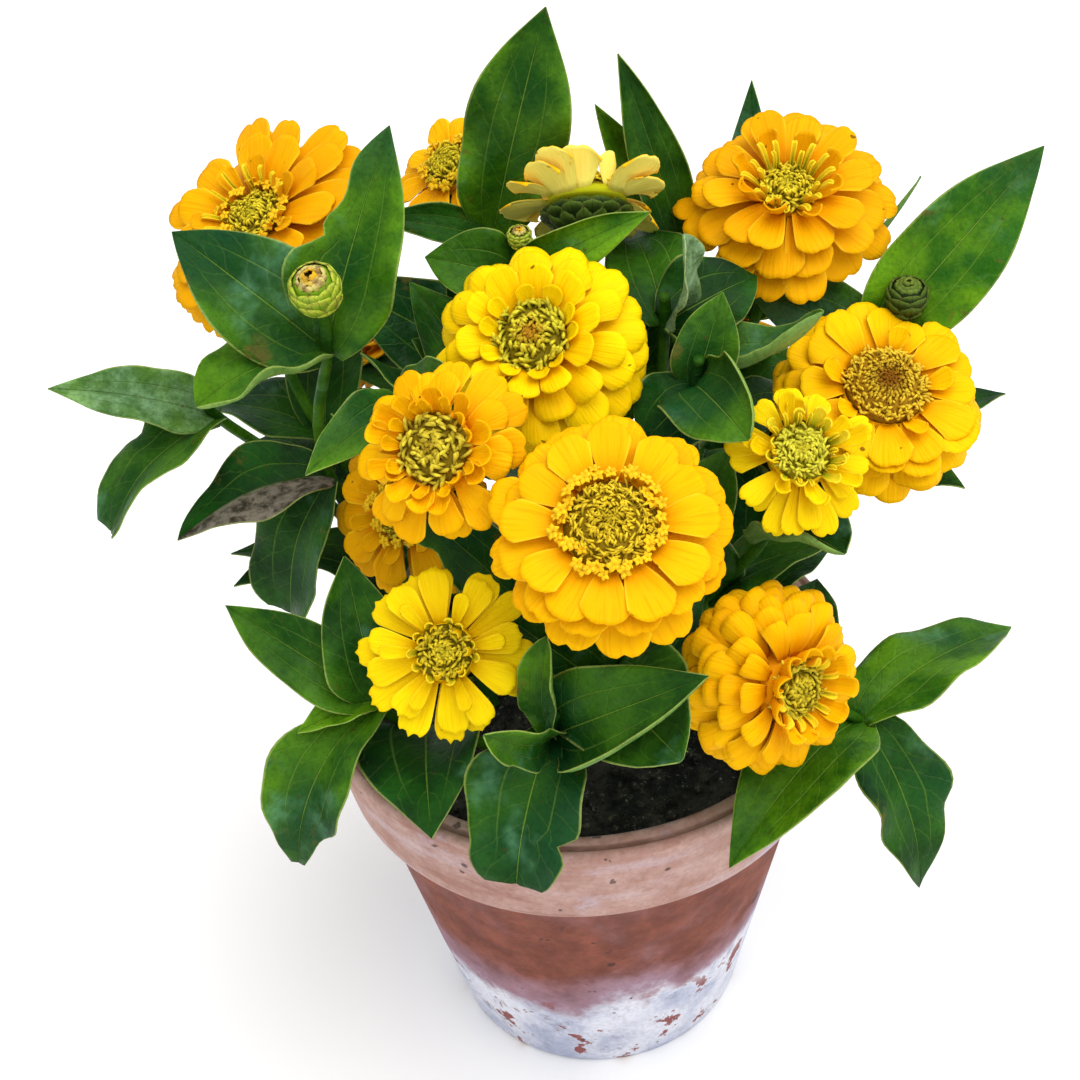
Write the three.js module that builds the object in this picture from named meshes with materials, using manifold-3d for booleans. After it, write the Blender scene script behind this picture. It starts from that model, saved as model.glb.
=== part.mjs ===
// A potted zinnia: an old clay pot, its soil, and leafy stems that carry yellow blooms and buds.
// Millimetres, +Z up, the origin at the centre of the pot's underside, the best side towards -Y.
import * as THREE from "three";
import { mergeVertices } from "three/addons/utils/BufferGeometryUtils.js";
import Module from "manifold-3d";

const wasm = await Module();
wasm.setup();

// The pot, a 160 mm clay pot with a tall collar.
const POT_HEIGHT = 137;
const LIP_RADIUS = 80;
const LIP_INNER_RADIUS = 71.5;
const COLLAR_LOW_Z = 105.4;
const COLLAR_LOW_RADIUS = 74.9;
const COLLAR_STEP = 1;
const WALL_TOP_RADIUS = 69.8;
const BASE_RADIUS = 48.5;
const EDGE = 2.2;
const FLOOR_THICK = 9;
const FLOOR_RADIUS = 40;
const DRAIN_RADIUS = 8;
const POT_SIDES = 32;

// The soil, with a plain hole for each stem.
const SOIL_TOP = 124;
const SOIL_SIDES = 20;
const SOIL_CROWN = 0.8;
const SOIL_BUMP = 1.1;
const GAP = 0.35;

// Stems.
const STEM_RADIUS = 1.9;
const STEM_SIDES = 5;
const STEM_DEPTH = 11;
const STEM_RISE = 3;
const STEM_TAPER = 0.8;
const STEM_INTO_CUP = 8;
const HOLE_RADIUS = 2.95;
const HOLE_ABOVE = 4;
const HOLE_SIDES = 5;

// Green cups, buds and discs: their sides, and the relief of their scales and florets as a share.
const CUP_SIDES = 8;
const DISC_SIDES = 10;
const SCALE_RIDGE = 0.04;
const FLORET_RIDGE = 0.08;

// Blades: leaves and petals are closed slabs of these thicknesses, kept this far from their neighbours.
const LEAF_THICK = 0.8;
const PETAL_THICK = 0.9;
const CLEAR = 0.4;
const WELD = 1e-4;

const DEGREE = Math.PI / 180;
const UP = new THREE.Vector3(0, 0, 1);
// Where the front leaves turn their faces.
const FORWARD_UP = [0, -0.72, 0.69];

function vec(a) {
  return new THREE.Vector3(a[0], a[1], a[2]);
}

function lerp(a, b, t) {
  return a + (b - a) * t;
}

// A repeatable draw from 0 to 1 for the given whole numbers.
function draw(a, b, c) {
  const s = Math.sin(a * 12.9898 + b * 78.233 + c * 37.719) * 43758.5453;
  return s - Math.floor(s);
}

// The kinds of bloom: petals in a row, how wide and high the core under them is, and its rows of petals.
// A row is [length share, width share, elevation in degrees, bend in degrees].
const KINDS = {
  daisy: {
    petals: 9,
    coreWide: 1.6,
    coreHigh: 2.8,
    rows: [
      [1, 0.46, -6, -10],
      [0.84, 0.42, 16, -12],
    ],
  },
  double: {
    petals: 10,
    coreWide: 2.2,
    coreHigh: 4.4,
    rows: [
      [1, 0.46, -10, -10],
      [0.86, 0.42, 14, -12],
    ],
  },
  dome: {
    petals: 10,
    coreWide: 7,
    coreHigh: 10,
    rows: [
      [0.78, 0.5, -30, -16],
      [0.84, 0.5, -6, -16],
      [0.78, 0.44, 18, -18],
      [0.62, 0.34, 42, -16],
    ],
  },
};

// A bloom: its kind, its radius, its disc's radius, and where it faces.
function bloom(kind, radius, disc, axis) {
  return { kind, radius, disc, axis };
}

// A leaf: the node of the stem that it grows from, its tip, its width, its arch, and where its face looks.
function leaf(node, tip, wide, arch = 0.12, face = [0, 0, 1]) {
  return { node, tip, wide, arch, face };
}

// The shoots. foot is where a stem leaves the soil, nodes are where its leaves sit, and head is its end:
// a bloom, a bud of the given radius, or a young tip. The first early leaves stand in front of blooms.
const SHOOTS = [
  {
    foot: [-24, 20],
    nodes: [[-70, 36, 200], [-81, 50, 234]],
    head: [-80.5, 58, 260],
    bloom: bloom("double", 32, 9, [-0.35, -0.42, 0.84]),
    leaves: [leaf(0, [-110, 58, 199], 24), leaf(0, [-66, 84, 214], 24), leaf(1, [-112, 80, 236], 24)],
  },
  {
    foot: [-10, 32],
    nodes: [[-24, 56, 190], [-28, 70, 226]],
    head: [-25, 77, 262],
    bloom: bloom("daisy", 22, 8, [-0.45, -0.3, 0.84]),
    leaves: [leaf(0, [-58, 66, 216], 26), leaf(0, [4, 84, 210], 26)],
  },
  {
    foot: [4, 26],
    nodes: [[4, 30, 200], [9, 33, 238]],
    head: [11, 36, 270],
    bloom: bloom("daisy", 24, 10.5, [0.04, 0.7, 0.71]),
    leaves: [leaf(0, [-26, 40, 250], 26, 0.1, FORWARD_UP), leaf(0, [34, 30, 254], 24, 0.1, FORWARD_UP)],
  },
  {
    foot: [22, 20],
    nodes: [[41, 30, 190], [58, 40, 226]],
    head: [67, 44, 262],
    bloom: bloom("double", 30.5, 8, [0, -0.4, 0.92]),
    leaves: [
      leaf(1, [64, 92, 276], 20, -0.08, FORWARD_UP),
      leaf(1, [110, 66, 254], 8, -0.15),
      leaf(0, [30, 74, 214], 26),
      leaf(0, [86, 52, 186], 26),
    ],
  },
  {
    foot: [0, 6],
    nodes: [[-7, 5, 185], [-6, 1, 218]],
    head: [-5, -6, 251],
    bloom: bloom("dome", 29.5, 9, [-0.18, -0.6, 0.78]),
    leaves: [leaf(1, [-46, 10, 256], 26, 0.1, FORWARD_UP), leaf(1, [26, -2, 236], 22)],
  },
  {
    foot: [38, 4],
    nodes: [[58, 6, 160], [80, 10, 190]],
    head: [87, 0, 224],
    bloom: bloom("double", 30, 12, [0.1, -0.46, 0.88]),
    leaves: [
      leaf(1, [129, 24, 204], 24),
      leaf(1, [111, -6, 194], 22),
      leaf(0, [76, 38, 166], 26),
      leaf(0, [62, 50, 172], 26),
    ],
  },
  {
    foot: [22, -12],
    nodes: [[37, -18, 171], [50, -30, 200]],
    head: [58, -38, 234],
    bloom: bloom("daisy", 20, 8, [0.1, -0.62, 0.78]),
    leaves: [
      leaf(1, [68, -52, 212], 26, 0.15),
      leaf(0, [17, -30, 226], 24, 0.12, FORWARD_UP),
      leaf(0, [72, -16, 186], 24),
    ],
  },
  {
    foot: [-14, -10],
    nodes: [[-17, -24, 180], [-22, -35, 214]],
    head: [-32, -42, 247],
    bloom: bloom("double", 22.5, 9.5, [-0.28, -0.7, 0.66]),
    leaves: [leaf(0, [-62, -4, 212], 24), leaf(0, [-45, -50, 231], 20, 0.1, FORWARD_UP)],
  },
  {
    foot: [-28, -4],
    nodes: [[-42, 2, 166], [-51, 4, 190]],
    head: [-45, -9, 204],
    bloom: bloom("daisy", 25, 8, [-0.45, -0.72, 0.53]),
    leaves: [
      leaf(1, [-86, 22, 204], 26),
    ],
  },
  {
    foot: [8, -16],
    nodes: [[6, -44, 164], [7, -58, 206]],
    head: [8, -68, 238],
    bloom: bloom("double", 29.5, 12, [-0.04, -0.52, 0.85]),
    leaves: [
      leaf(0, [44, -92, 186], 37, 0.14, [-0.2, -0.5, 0.84]),
      leaf(0, [-26, -46, 202], 24, 0.12, FORWARD_UP),
      leaf(0, [34, -38, 192], 24, 0.12, FORWARD_UP),
    ],
  },
  {
    foot: [-26, -26],
    nodes: [[-44, -44, 154], [-55, -57, 178]],
    head: [-35, -66, 202],
    bloom: bloom("daisy", 21.5, 7.5, [-0.05, -0.74, 0.67]),
    leaves: [
      leaf(1, [-94, -36, 198], 26, 0.08, FORWARD_UP),
      leaf(1, [-82, -76, 138], 28, 0.16),
      leaf(0, [-42, -98, 169], 40, 0.14, FORWARD_UP),
      leaf(1, [-77, -62, 182], 11),
      leaf(1, [-62, -32, 209], 24, 0.08, FORWARD_UP),
    ],
  },
  {
    foot: [30, -18],
    nodes: [[58, -36, 146], [75, -50, 150]],
    head: [47.5, -66, 184],
    bloom: bloom("dome", 26.5, 7.5, [0.5, -0.8, 0.33]),
    leaves: [
      leaf(1, [126, -16, 149], 28, 0.1),
      leaf(1, [33, -93, 149], 30, 0.14),
      leaf(1, [90, -72, 104], 28, 0.14, [0.5, -0.6, 0.6]),
      leaf(0, [72, 2, 158], 24),
    ],
  },
  {
    early: 3,
    foot: [-36, 2],
    nodes: [[-67, 9, 205], [-61, 0, 252]],
    head: [-60.5, -7, 275],
    bud: 6.9,
    axis: [-0.1, -0.4, 0.9],
    leaves: [
      leaf(1, [-98, 16, 282], 32, 0.1, FORWARD_UP),
      leaf(1, [-39, 24, 303], 30, 0.1, FORWARD_UP),
      leaf(1, [-86, -26, 260], 24, 0.14),
      leaf(0, [-110, -6, 198], 26, 0.14, [-0.3, -0.3, 0.9]),
      leaf(0, [-84, 0, 163], 30, 0.12, [-0.6, -0.6, 0.5]),
      leaf(0, [-62, 34, 238], 26, 0.1, FORWARD_UP),
    ],
  },
  {
    early: 1,
    foot: [40, 20],
    nodes: [[72, 20, 190], [89, 22, 227]],
    head: [97, 20, 242],
    bud: 6,
    axis: [0, -0.15, 0.98],
    leaves: [
      leaf(1, [138, 44, 272], 30, 0.08, FORWARD_UP),
      leaf(1, [53, 24, 240], 22, 0.1, [0, -0.5, 0.86]),
      leaf(0, [112, 54, 200], 26),
      leaf(0, [60, 66, 190], 26),
    ],
  },
  {
    early: 2,
    foot: [-8, 16],
    nodes: [[-9, 18, 215], [-10, 22, 256]],
    head: [-8, 24, 268],
    bud: 3.2,
    axis: [0, -0.2, 0.98],
    leaves: [
      leaf(1, [-34, 26, 263], 22, 0.12, FORWARD_UP),
      leaf(1, [27, 21, 274], 16, 0.1, FORWARD_UP),
      leaf(0, [-40, 22, 240], 24, 0.12, FORWARD_UP),
      leaf(0, [22, 22, 244], 22, 0.12),
      leaf(0, [-43, 30, 260], 26, 0.12, FORWARD_UP),
    ],
  },
  {
    foot: [16, 2],
    nodes: [[27, -2, 175], [35, -8, 236]],
    head: [36, -10, 247],
    leaves: [
      leaf(1, [44.5, -44, 236], 26, 0.16, [-0.3, -0.6, 0.7]),
      leaf(1, [24, -28, 252], 15, 0.12, FORWARD_UP),
      leaf(1, [44, 4, 258], 18, 0.1, FORWARD_UP),
      leaf(0, [14, -6, 212], 24, 0.12, FORWARD_UP),
      leaf(0, [48, 6, 204], 24, 0.12, FORWARD_UP),
      leaf(1, [20, -14, 224], 24, 0.12, FORWARD_UP),
    ],
  },
  {
    foot: [-6, -38],
    nodes: [[-10, -74, 178]],
    head: [-9, -79, 190],
    leaves: [
      leaf(0, [-22, -101, 153], 32, 0.16),
      leaf(0, [28, -93, 212], 28, 0.12, FORWARD_UP),
      leaf(0, [-16, -92, 213], 14, 0.1, [0.5, -0.7, 0.4]),
      leaf(0, [0, -93, 212], 14, 0.1, [-0.5, -0.7, 0.4]),
    ],
  },
  {
    foot: [-36, 15],
    nodes: [[-74, 30, 184], [-96, 16, 223]],
    head: [-98, 14, 232],
    leaves: [
      leaf(1, [-139, 10, 241], 24, 0.1, [0, -0.5, 0.86]),
      leaf(1, [-128, -8, 205], 26, 0.14, [-0.3, -0.3, 0.9]),
      leaf(0, [-96, 56, 186], 26),
    ],
  },
  {
    foot: [-20, 8],
    nodes: [[-36, 0, 205], [-42, -8, 238]],
    head: [-42, -11, 246],
    leaves: [
      leaf(1, [-66, -36, 247], 22, 0.12, [-0.2, -0.6, 0.8]),
      leaf(1, [-36, -34, 256], 14, 0.12, FORWARD_UP),
      leaf(0, [-60, 24, 232], 24),
    ],
  },
  {
    foot: [20, 12],
    nodes: [[26, 12, 200], [29, 9, 246]],
    head: [29, 8, 256],
    leaves: [
      leaf(1, [57, -24, 258], 22, -0.3, [0.1, -0.3, 0.95]),
      leaf(1, [34, 4, 276], 14, 0.1, [0.8, -0.5, 0.2]),
      leaf(1, [30, 56, 254], 26, 0.12),
      leaf(0, [56, 44, 214], 24),
      leaf(1, [48, 32, 251], 26, 0.1, FORWARD_UP),
    ],
  },
  {
    foot: [-20, 36],
    nodes: [[-42, 62, 160], [-50, 73, 180]],
    head: [-50, 81, 200],
    bloom: bloom("double", 25, 8.5, [-0.3, 0.62, 0.72]),
    leaves: [
      leaf(0, [-84, 92, 158], 28, 0.16),
      leaf(0, [-22, 96, 172], 28, 0.16),
      leaf(1, [-94, 70, 178], 26, 0.14),
      leaf(0, [-56, 94, 134], 28, 0.18),
    ],
  },
  {
    foot: [20, 38],
    nodes: [[40, 60, 160], [48, 72, 182]],
    head: [48, 80, 202],
    bloom: bloom("double", 25, 8, [0.28, 0.66, 0.7]),
    leaves: [
      leaf(0, [84, 82, 156], 28, 0.16),
      leaf(0, [22, 96, 150], 28, 0.16),
      leaf(1, [92, 66, 186], 26, 0.14),
      leaf(0, [60, 95, 128], 28, 0.18),
    ],
  },
  {
    foot: [0, 44],
    nodes: [[0, 68, 146], [-2, 80, 158]],
    head: [-2, 88, 170],
    bud: 6.5,
    axis: [0, 0.75, 0.66],
    leaves: [leaf(0, [-36, 96, 142], 26, 0.16), leaf(1, [0, 100, 186], 22), leaf(0, [4, 98, 118], 28, 0.2)],
  },
  {
    early: 2,
    foot: [14, 42],
    nodes: [[30, 52, 204], [38, 52, 246]],
    head: [39, 54, 255],
    leaves: [
      leaf(1, [23, 66, 299], 18, 0.08, FORWARD_UP),
      leaf(1, [20, 58, 290], 14, -0.06, FORWARD_UP),
      leaf(0, [60, 78, 216], 24),
      leaf(0, [16, 84, 228], 24),
    ],
  },
  {
    early: 1,
    foot: [-6, 44],
    nodes: [[-13, 50, 204], [-16, 56, 250]],
    head: [-16, 57, 258],
    leaves: [
      leaf(1, [4, 66, 314], 33, 0.06, FORWARD_UP),
      leaf(1, [-48, 66, 262], 14, 0.1, FORWARD_UP),
      leaf(0, [-62, 46, 246], 36, 0.12, FORWARD_UP),
    ],
  },
];

// Leaves low on the stems, mostly hidden from the front. [shoot, height share, azimuth, length]
const LOW_LEAF_RISE = 0.3;
const LOW_LEAF_WIDE = 0.45;
const LOW_LEAF_ARCH = 0.16;
const LOW_LEAVES = [
  [0, 0.45, 150, 54],
  [3, 0.4, 60, 50],
  [5, 0.5, 45, 38],
  [5, 0.5, 70, 44],
  [9, 0.45, -60, 40],
  [12, 0.4, 175, 56],
  [12, 0.55, 95, 48],
  [13, 0.45, 20, 56],
  [17, 0.5, 200, 50],
  [20, 0.45, 190, 50],
  [21, 0.45, -10, 50],
];

// Materials.
function finish(colour, roughness) {
  return new THREE.MeshStandardMaterial({ color: colour, roughness, metalness: 0 });
}
const CLAY = finish(0xc08a6e, 0.9);
const SOIL = finish(0x17171c, 1);
const LEAF = finish(0x22641a, 0.55);
const PETAL = finish(0xfab814, 0.6);
const DISC = finish(0x9a7d12, 0.8);
const BUD = finish(0xb4b52c, 0.6);

// Turns a closed geometry into a solid that can be cut and joined.
function solidOf(geometry) {
  geometry.deleteAttribute("normal");
  geometry.deleteAttribute("uv");
  const merged = mergeVertices(geometry, WELD);
  const mesh = new wasm.Mesh({
    numProp: 3,
    vertProperties: merged.attributes.position.array,
    triVerts: new Uint32Array(merged.index.array),
  });
  return new wasm.Manifold(mesh);
}

function geometryFrom(points, triangles) {
  const flat = new Float32Array(points.length * 3);
  points.forEach((p, i) => p.toArray(flat, i * 3));
  const geometry = new THREE.BufferGeometry();
  geometry.setAttribute("position", new THREE.BufferAttribute(flat, 3));
  geometry.setIndex(triangles);
  return geometry;
}

// The main body of a fused solid: hollows that fusing sealed are filled and loose scraps dropped.
function mainBody(solid) {
  const bodies = solid.decompose();
  return bodies.reduce((best, body) => (body.volume() > best.volume() ? body : best));
}

// A named mesh of a finished solid.
function named(name, solid, material) {
  const data = mainBody(solid).getMesh();
  const flat = new Float32Array(data.numVert * 3);
  for (let i = 0; i < data.numVert; i += 1) {
    const start = i * data.numProp;
    flat.set(data.vertProperties.subarray(start, start + 3), i * 3);
  }
  const geometry = new THREE.BufferGeometry();
  geometry.setAttribute("position", new THREE.BufferAttribute(flat, 3));
  geometry.setIndex(new THREE.BufferAttribute(data.triVerts, 1));
  geometry.computeVertexNormals();
  const mesh = new THREE.Mesh(geometry, material);
  mesh.name = name;
  return mesh;
}

// A revolved solid that stands on +Z, from [radius, height] points.
function revolved(profile, sides) {
  const points = profile.map(([r, z]) => new THREE.Vector2(r, z));
  const geometry = new THREE.LatheGeometry(points, sides);
  geometry.rotateX(Math.PI / 2);
  return geometry;
}

// A closed slab round a middle surface: its points, their normals, its triangles and its outline.
function slab(points, normals, triangles, outline, thick) {
  const half = thick / 2;
  const count = points.length;
  const top = points.map((p, i) => p.clone().addScaledVector(normals[i], half));
  const under = points.map((p, i) => p.clone().addScaledVector(normals[i], -half));
  const faces = [];
  for (const [a, b, c] of triangles) {
    faces.push(a, b, c);
    faces.push(count + a, count + c, count + b);
  }
  outline.forEach((a, i) => {
    const b = outline[(i + 1) % outline.length];
    faces.push(count + a, count + b, b);
    faces.push(count + a, b, a);
  });
  return solidOf(geometryFrom([...top, ...under], faces));
}

// The triangles of a stack of rings with equal sides, closed at both ends.
function ringFaces(rings, sides) {
  const faces = [];
  for (let i = 0; i + 1 < rings; i += 1) {
    for (let k = 0; k < sides; k += 1) {
      const a = i * sides + k;
      const b = i * sides + ((k + 1) % sides);
      faces.push(a, b, b + sides, a, b + sides, a + sides);
    }
  }
  const last = (rings - 1) * sides;
  for (let k = 1; k + 1 < sides; k += 1) {
    faces.push(0, k + 1, k);
    faces.push(last, last + k, last + k + 1);
  }
  return faces;
}

// A closed tube round a path. radii holds one radius for each point.
function tube(path, radii, sides) {
  const points = [];
  const side = new THREE.Vector3(1, 0, 0);
  path.forEach((p, i) => {
    const before = path[Math.max(i - 1, 0)];
    const after = path[Math.min(i + 1, path.length - 1)];
    const along = after.clone().sub(before).normalize();
    side.addScaledVector(along, -side.dot(along)).normalize();
    const other = along.clone().cross(side);
    for (let k = 0; k < sides; k += 1) {
      const turn = (k / sides) * 2 * Math.PI;
      const ring = p.clone().addScaledVector(side, radii[i] * Math.cos(turn));
      points.push(ring.addScaledVector(other, radii[i] * Math.sin(turn)));
    }
  });
  return solidOf(geometryFrom(points, ringFaces(path.length, sides)));
}

// A revolved solid round an axis through a point, from [radius, height] rings, with a share of ridge.
function turned(centre, axis, rings, sides, ridge) {
  const side = UP.clone().cross(axis).normalize();
  const other = axis.clone().cross(side);
  const points = [];
  rings.forEach(([radius, height], i) => {
    for (let k = 0; k < sides; k += 1) {
      const turn = (k / sides) * 2 * Math.PI;
      const swell = radius * (1 + ridge * ((k + i) % 2 === 0 ? 1 : -1));
      const p = centre.clone().addScaledVector(axis, height);
      p.addScaledVector(side, swell * Math.cos(turn));
      points.push(p.addScaledVector(other, swell * Math.sin(turn)));
    }
  });
  return solidOf(geometryFrom(points, ringFaces(rings.length, sides)));
}

// The pot: base with a drain hole, tapered wall, and a collar that widens to the rounded lip.
function makePot() {
  const profile = [
    [DRAIN_RADIUS, 0],
    [BASE_RADIUS - EDGE, 0],
    [BASE_RADIUS, EDGE],
    [WALL_TOP_RADIUS, COLLAR_LOW_Z],
    [COLLAR_LOW_RADIUS, COLLAR_LOW_Z + COLLAR_STEP],
    [LIP_RADIUS, POT_HEIGHT - EDGE],
    [LIP_RADIUS - EDGE, POT_HEIGHT],
    [LIP_INNER_RADIUS + COLLAR_STEP, POT_HEIGHT],
    [LIP_INNER_RADIUS, POT_HEIGHT - COLLAR_STEP],
    [FLOOR_RADIUS, FLOOR_THICK],
    [DRAIN_RADIUS, FLOOR_THICK],
    [DRAIN_RADIUS, 0],
  ];
  return solidOf(revolved(profile, POT_SIDES));
}

// The inner radius of the pot at a height.
function potInside(z) {
  const rise = (z - FLOOR_THICK) / (POT_HEIGHT - COLLAR_STEP - FLOOR_THICK);
  return lerp(FLOOR_RADIUS, LIP_INNER_RADIUS, rise);
}

// The soil: a filled cone with a crumbly top. It stays inside the flats of the pot's faceted wall.
function makeSoil() {
  const low = FLOOR_THICK + GAP;
  const inscribed = Math.cos(Math.PI / POT_SIDES);
  const edge = (z) => potInside(z) * inscribed - 2 * GAP;
  const profile = [
    [0, low],
    [edge(low), low],
    [edge(SOIL_TOP - 1), SOIL_TOP - 1],
    [0.8 * edge(SOIL_TOP), SOIL_TOP],
    [0.42 * edge(SOIL_TOP), SOIL_TOP + SOIL_CROWN],
    [0, SOIL_TOP + SOIL_CROWN],
  ];
  const geometry = revolved(profile, SOIL_SIDES);
  const place = geometry.attributes.position;
  for (let i = 0; i < place.count; i += 1) {
    const reach = Math.hypot(place.getX(i), place.getY(i));
    if (place.getZ(i) < SOIL_TOP - 0.5 || reach < 1) continue;
    const angle = Math.atan2(place.getY(i), place.getX(i)) + 2.5 * Math.PI;
    const cell = Math.round((angle / (2 * Math.PI)) * SOIL_SIDES) % SOIL_SIDES;
    const bump = draw(cell, Math.round(reach), 5) - 0.5;
    place.setZ(i, place.getZ(i) + 2 * SOIL_BUMP * bump);
  }
  return solidOf(geometry);
}

function stemFoot(shoot) {
  return new THREE.Vector3(shoot.foot[0], shoot.foot[1], SOIL_TOP);
}

function headAxis(shoot) {
  const axis = shoot.bloom ? shoot.bloom.axis : shoot.axis;
  return axis ? vec(axis).normalize() : null;
}

// The points that a stem passes: straight out of the soil, through its nodes, and into its head.
function stemPoints(shoot) {
  const foot = stemFoot(shoot);
  const end = vec(shoot.head);
  const axis = headAxis(shoot);
  if (axis) end.addScaledVector(axis, shoot.bloom ? -STEM_INTO_CUP : -shoot.bud);
  return [foot.clone().addScaledVector(UP, STEM_RISE), ...shoot.nodes.map(vec), end];
}

function makeStem(shoot) {
  const foot = stemFoot(shoot);
  const below = foot.clone().addScaledVector(UP, -STEM_DEPTH);
  const path = [below, foot.clone().addScaledVector(UP, 1), ...stemPoints(shoot)];
  const radii = path.map((p, i) => STEM_RADIUS * lerp(1, STEM_TAPER, i / (path.length - 1)));
  return tube(path, radii, STEM_SIDES);
}

// The green cup under a bloom's petals. A ring is [share of the cup's radius, height].
const CUP_RINGS = [
  [0.5, -8.4],
  [1, -3],
  [0.8, -1.2],
];

function makeCup(shoot) {
  const wide = shoot.bloom.disc + KINDS[shoot.bloom.kind].coreWide;
  const rings = CUP_RINGS.map(([share, height]) => [share * wide, height]);
  return turned(vec(shoot.head), headAxis(shoot), rings, CUP_SIDES, SCALE_RIDGE);
}

// A bud's green ball of scales and its yellow tip, as [radius, height] shares of the bud's radius.
const BUD_BALL = [
  [0.22, -1.15],
  [0.72, -0.86],
  [1, -0.1],
  [0.86, 0.42],
  [0.6, 0.66],
];
const BUD_TIP = [
  [0.5, 0.66],
  [0.5, 0.86],
  [0.26, 1.05],
];

function makeBudBall(shoot) {
  const rings = BUD_BALL.map(([radius, height]) => [radius * shoot.bud, height * shoot.bud]);
  return turned(vec(shoot.head), headAxis(shoot), rings, CUP_SIDES, SCALE_RIDGE);
}

function makeBudTip(shoot) {
  const rings = BUD_TIP.map(([radius, height]) => [radius * shoot.bud, height * shoot.bud + GAP]);
  return turned(vec(shoot.head), headAxis(shoot), rings, CUP_SIDES, FLORET_RIDGE);
}

// A leaf's outline: half width as a share of the whole half width, along its length after the root.
const LEAF_ROWS = [
  [0.3, 0.98],
  [0.68, 0.78],
];
const FOLD = 0.22;
// The share of a leaf, from its root, that may grow together with its own stem's other leaves.
const FUSED_SHARE = 0.24;

// The blade of a leaf from base to tip. For tests, grow makes it fatter all round and start cuts its root.
function leafBlade(base, tip, wide, arch, face, grow = 0, start = 0) {
  const chord = tip.clone().sub(base);
  const length = chord.length();
  const along = chord.clone().normalize();
  const above = face.clone().addScaledVector(along, -face.dot(along)).normalize();
  const bend = base.clone().lerp(tip, 0.42).addScaledVector(above, 2 * arch * length);
  const rib = new THREE.QuadraticBezierCurve3(base, bend, tip);
  const points = [];
  const normals = [];
  const rows = [];
  const addRow = (u, half) => {
    const p = rib.getPoint(u);
    const forward = rib.getTangent(u);
    const right = forward.clone().cross(above).normalize();
    const normal = right.clone().cross(forward).normalize();
    const row = (half > 0 ? [-1, 0, 1] : [0]).map((v) => {
      const q = p.clone().addScaledVector(right, v * half);
      points.push(q.addScaledVector(normal, Math.abs(v) * half * FOLD));
      normals.push(normal.clone());
      return points.length - 1;
    });
    rows.push(row);
  };
  const rootShare = start / LEAF_ROWS[0][0];
  addRow(start, start > 0 ? (wide / 2) * LEAF_ROWS[0][1] * rootShare + grow : 0);
  for (const [u, share] of LEAF_ROWS) addRow(u, (wide / 2) * share + grow);
  addRow(1, 0);
  if (grow) points[points.length - 1].addScaledVector(along, 2 * grow);
  const triangles = [];
  for (let i = 0; i + 1 < rows.length; i += 1) {
    const [near, far] = [rows[i], rows[i + 1]];
    if (near.length === 1) {
      triangles.push([near[0], far[1], far[0]], [near[0], far[2], far[1]]);
    } else if (far.length === 1) {
      triangles.push([near[0], near[1], far[0]], [near[1], near[2], far[0]]);
    } else {
      triangles.push([near[0], near[1], far[1]], [near[0], far[1], far[0]]);
      triangles.push([near[1], near[2], far[2]], [near[1], far[2], far[1]]);
    }
  }
  const rightEdge = rows.map((row) => row[row.length - 1]);
  const leftEdge = rows.slice(0, -1).map((row) => row[0]).reverse();
  if (start === 0) leftEdge.pop();
  const outline = start === 0 ? [...rightEdge, ...leftEdge] : [rows[0][1], ...rightEdge, ...leftEdge];
  return slab(points, normals, triangles, outline, LEAF_THICK + 2 * grow);
}

// The ways a leaf may be turned to stay clear of its neighbours, the smallest turn first.
const TURNS = [];
for (const shrink of [1, 0.86, 0.72]) {
  for (const lift of [0, 6, -6, 12, -12, 20, -20, 30]) {
    for (const swing of [0, 7, -7, 14, -14, 24, -24]) {
      const cost = Math.abs(lift) + Math.abs(swing) + (1 - shrink) * 120;
      TURNS.push({ shrink, lift, swing, cost });
    }
  }
}
TURNS.sort((a, b) => a.cost - b.cost);

// A direction after a turn: swing about the vertical, then lift out of the level.
function turnVector(v, turn) {
  const swung = v.clone().applyAxisAngle(UP, turn.swing * DEGREE);
  const level = new THREE.Vector3(swung.x, swung.y, 0);
  if (level.length() < 1e-6) level.set(0, -1, 0);
  const hinge = level.normalize().cross(UP);
  return swung.applyAxisAngle(hinge, turn.lift * DEGREE);
}

// What has been placed so far: name, solid and box of each piece.
const placed = [];

function keep(name, solid) {
  placed.push({ name, solid, box: solid.boundingBox() });
}

function boxesMeet(a, b) {
  return [0, 1, 2].every((i) => a.min[i] <= b.max[i] && b.min[i] <= a.max[i]);
}

// True if a solid meets nothing that is placed, apart from the pieces of its own node.
function isClear(solid, own) {
  const box = solid.boundingBox();
  return placed.every((other) => {
    if (other.name === own || !boxesMeet(box, other.box)) return true;
    return solid.intersect(other.solid).isEmpty();
  });
}

// The leaves of each stem so far, without their roots.
const ownLeaves = new Map();

// Places one leaf: the first turn in which it meets nothing but its own stem, or nothing.
function placeLeaf(own, base, tip, wide, arch, face) {
  const reach = tip.clone().sub(base);
  const others = ownLeaves.get(own) ?? [];
  ownLeaves.set(own, others);
  for (const turn of TURNS) {
    const end = base.clone().addScaledVector(turnVector(reach, turn), turn.shrink);
    const look = turnVector(face, turn);
    const breadth = wide * (0.4 + 0.6 * turn.shrink);
    const outer = leafBlade(base, end, breadth, arch, look, CLEAR, FUSED_SHARE);
    if (others.some((leafy) => !leafy.intersect(outer).isEmpty())) continue;
    if (isClear(leafBlade(base, end, breadth, arch, look, CLEAR), own)) {
      const blade = leafBlade(base, end, breadth, arch, look);
      others.push(leafBlade(base, end, breadth, arch, look, 0, FUSED_SHARE));
      keep(own, blade);
      return { blade, turn };
    }
  }
  return null;
}

// A petal's outline as shares of its length and width, and how neighbours are staggered, in degrees.
const PETAL_MIDDLE = 0.56;
const PETAL_MIDDLE_HALF = 0.47;
const PETAL_END_HALF = 0.4;
const PETAL_END_ROUND = 0.12;
const PETAL_STAGGER = 3.5;
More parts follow.
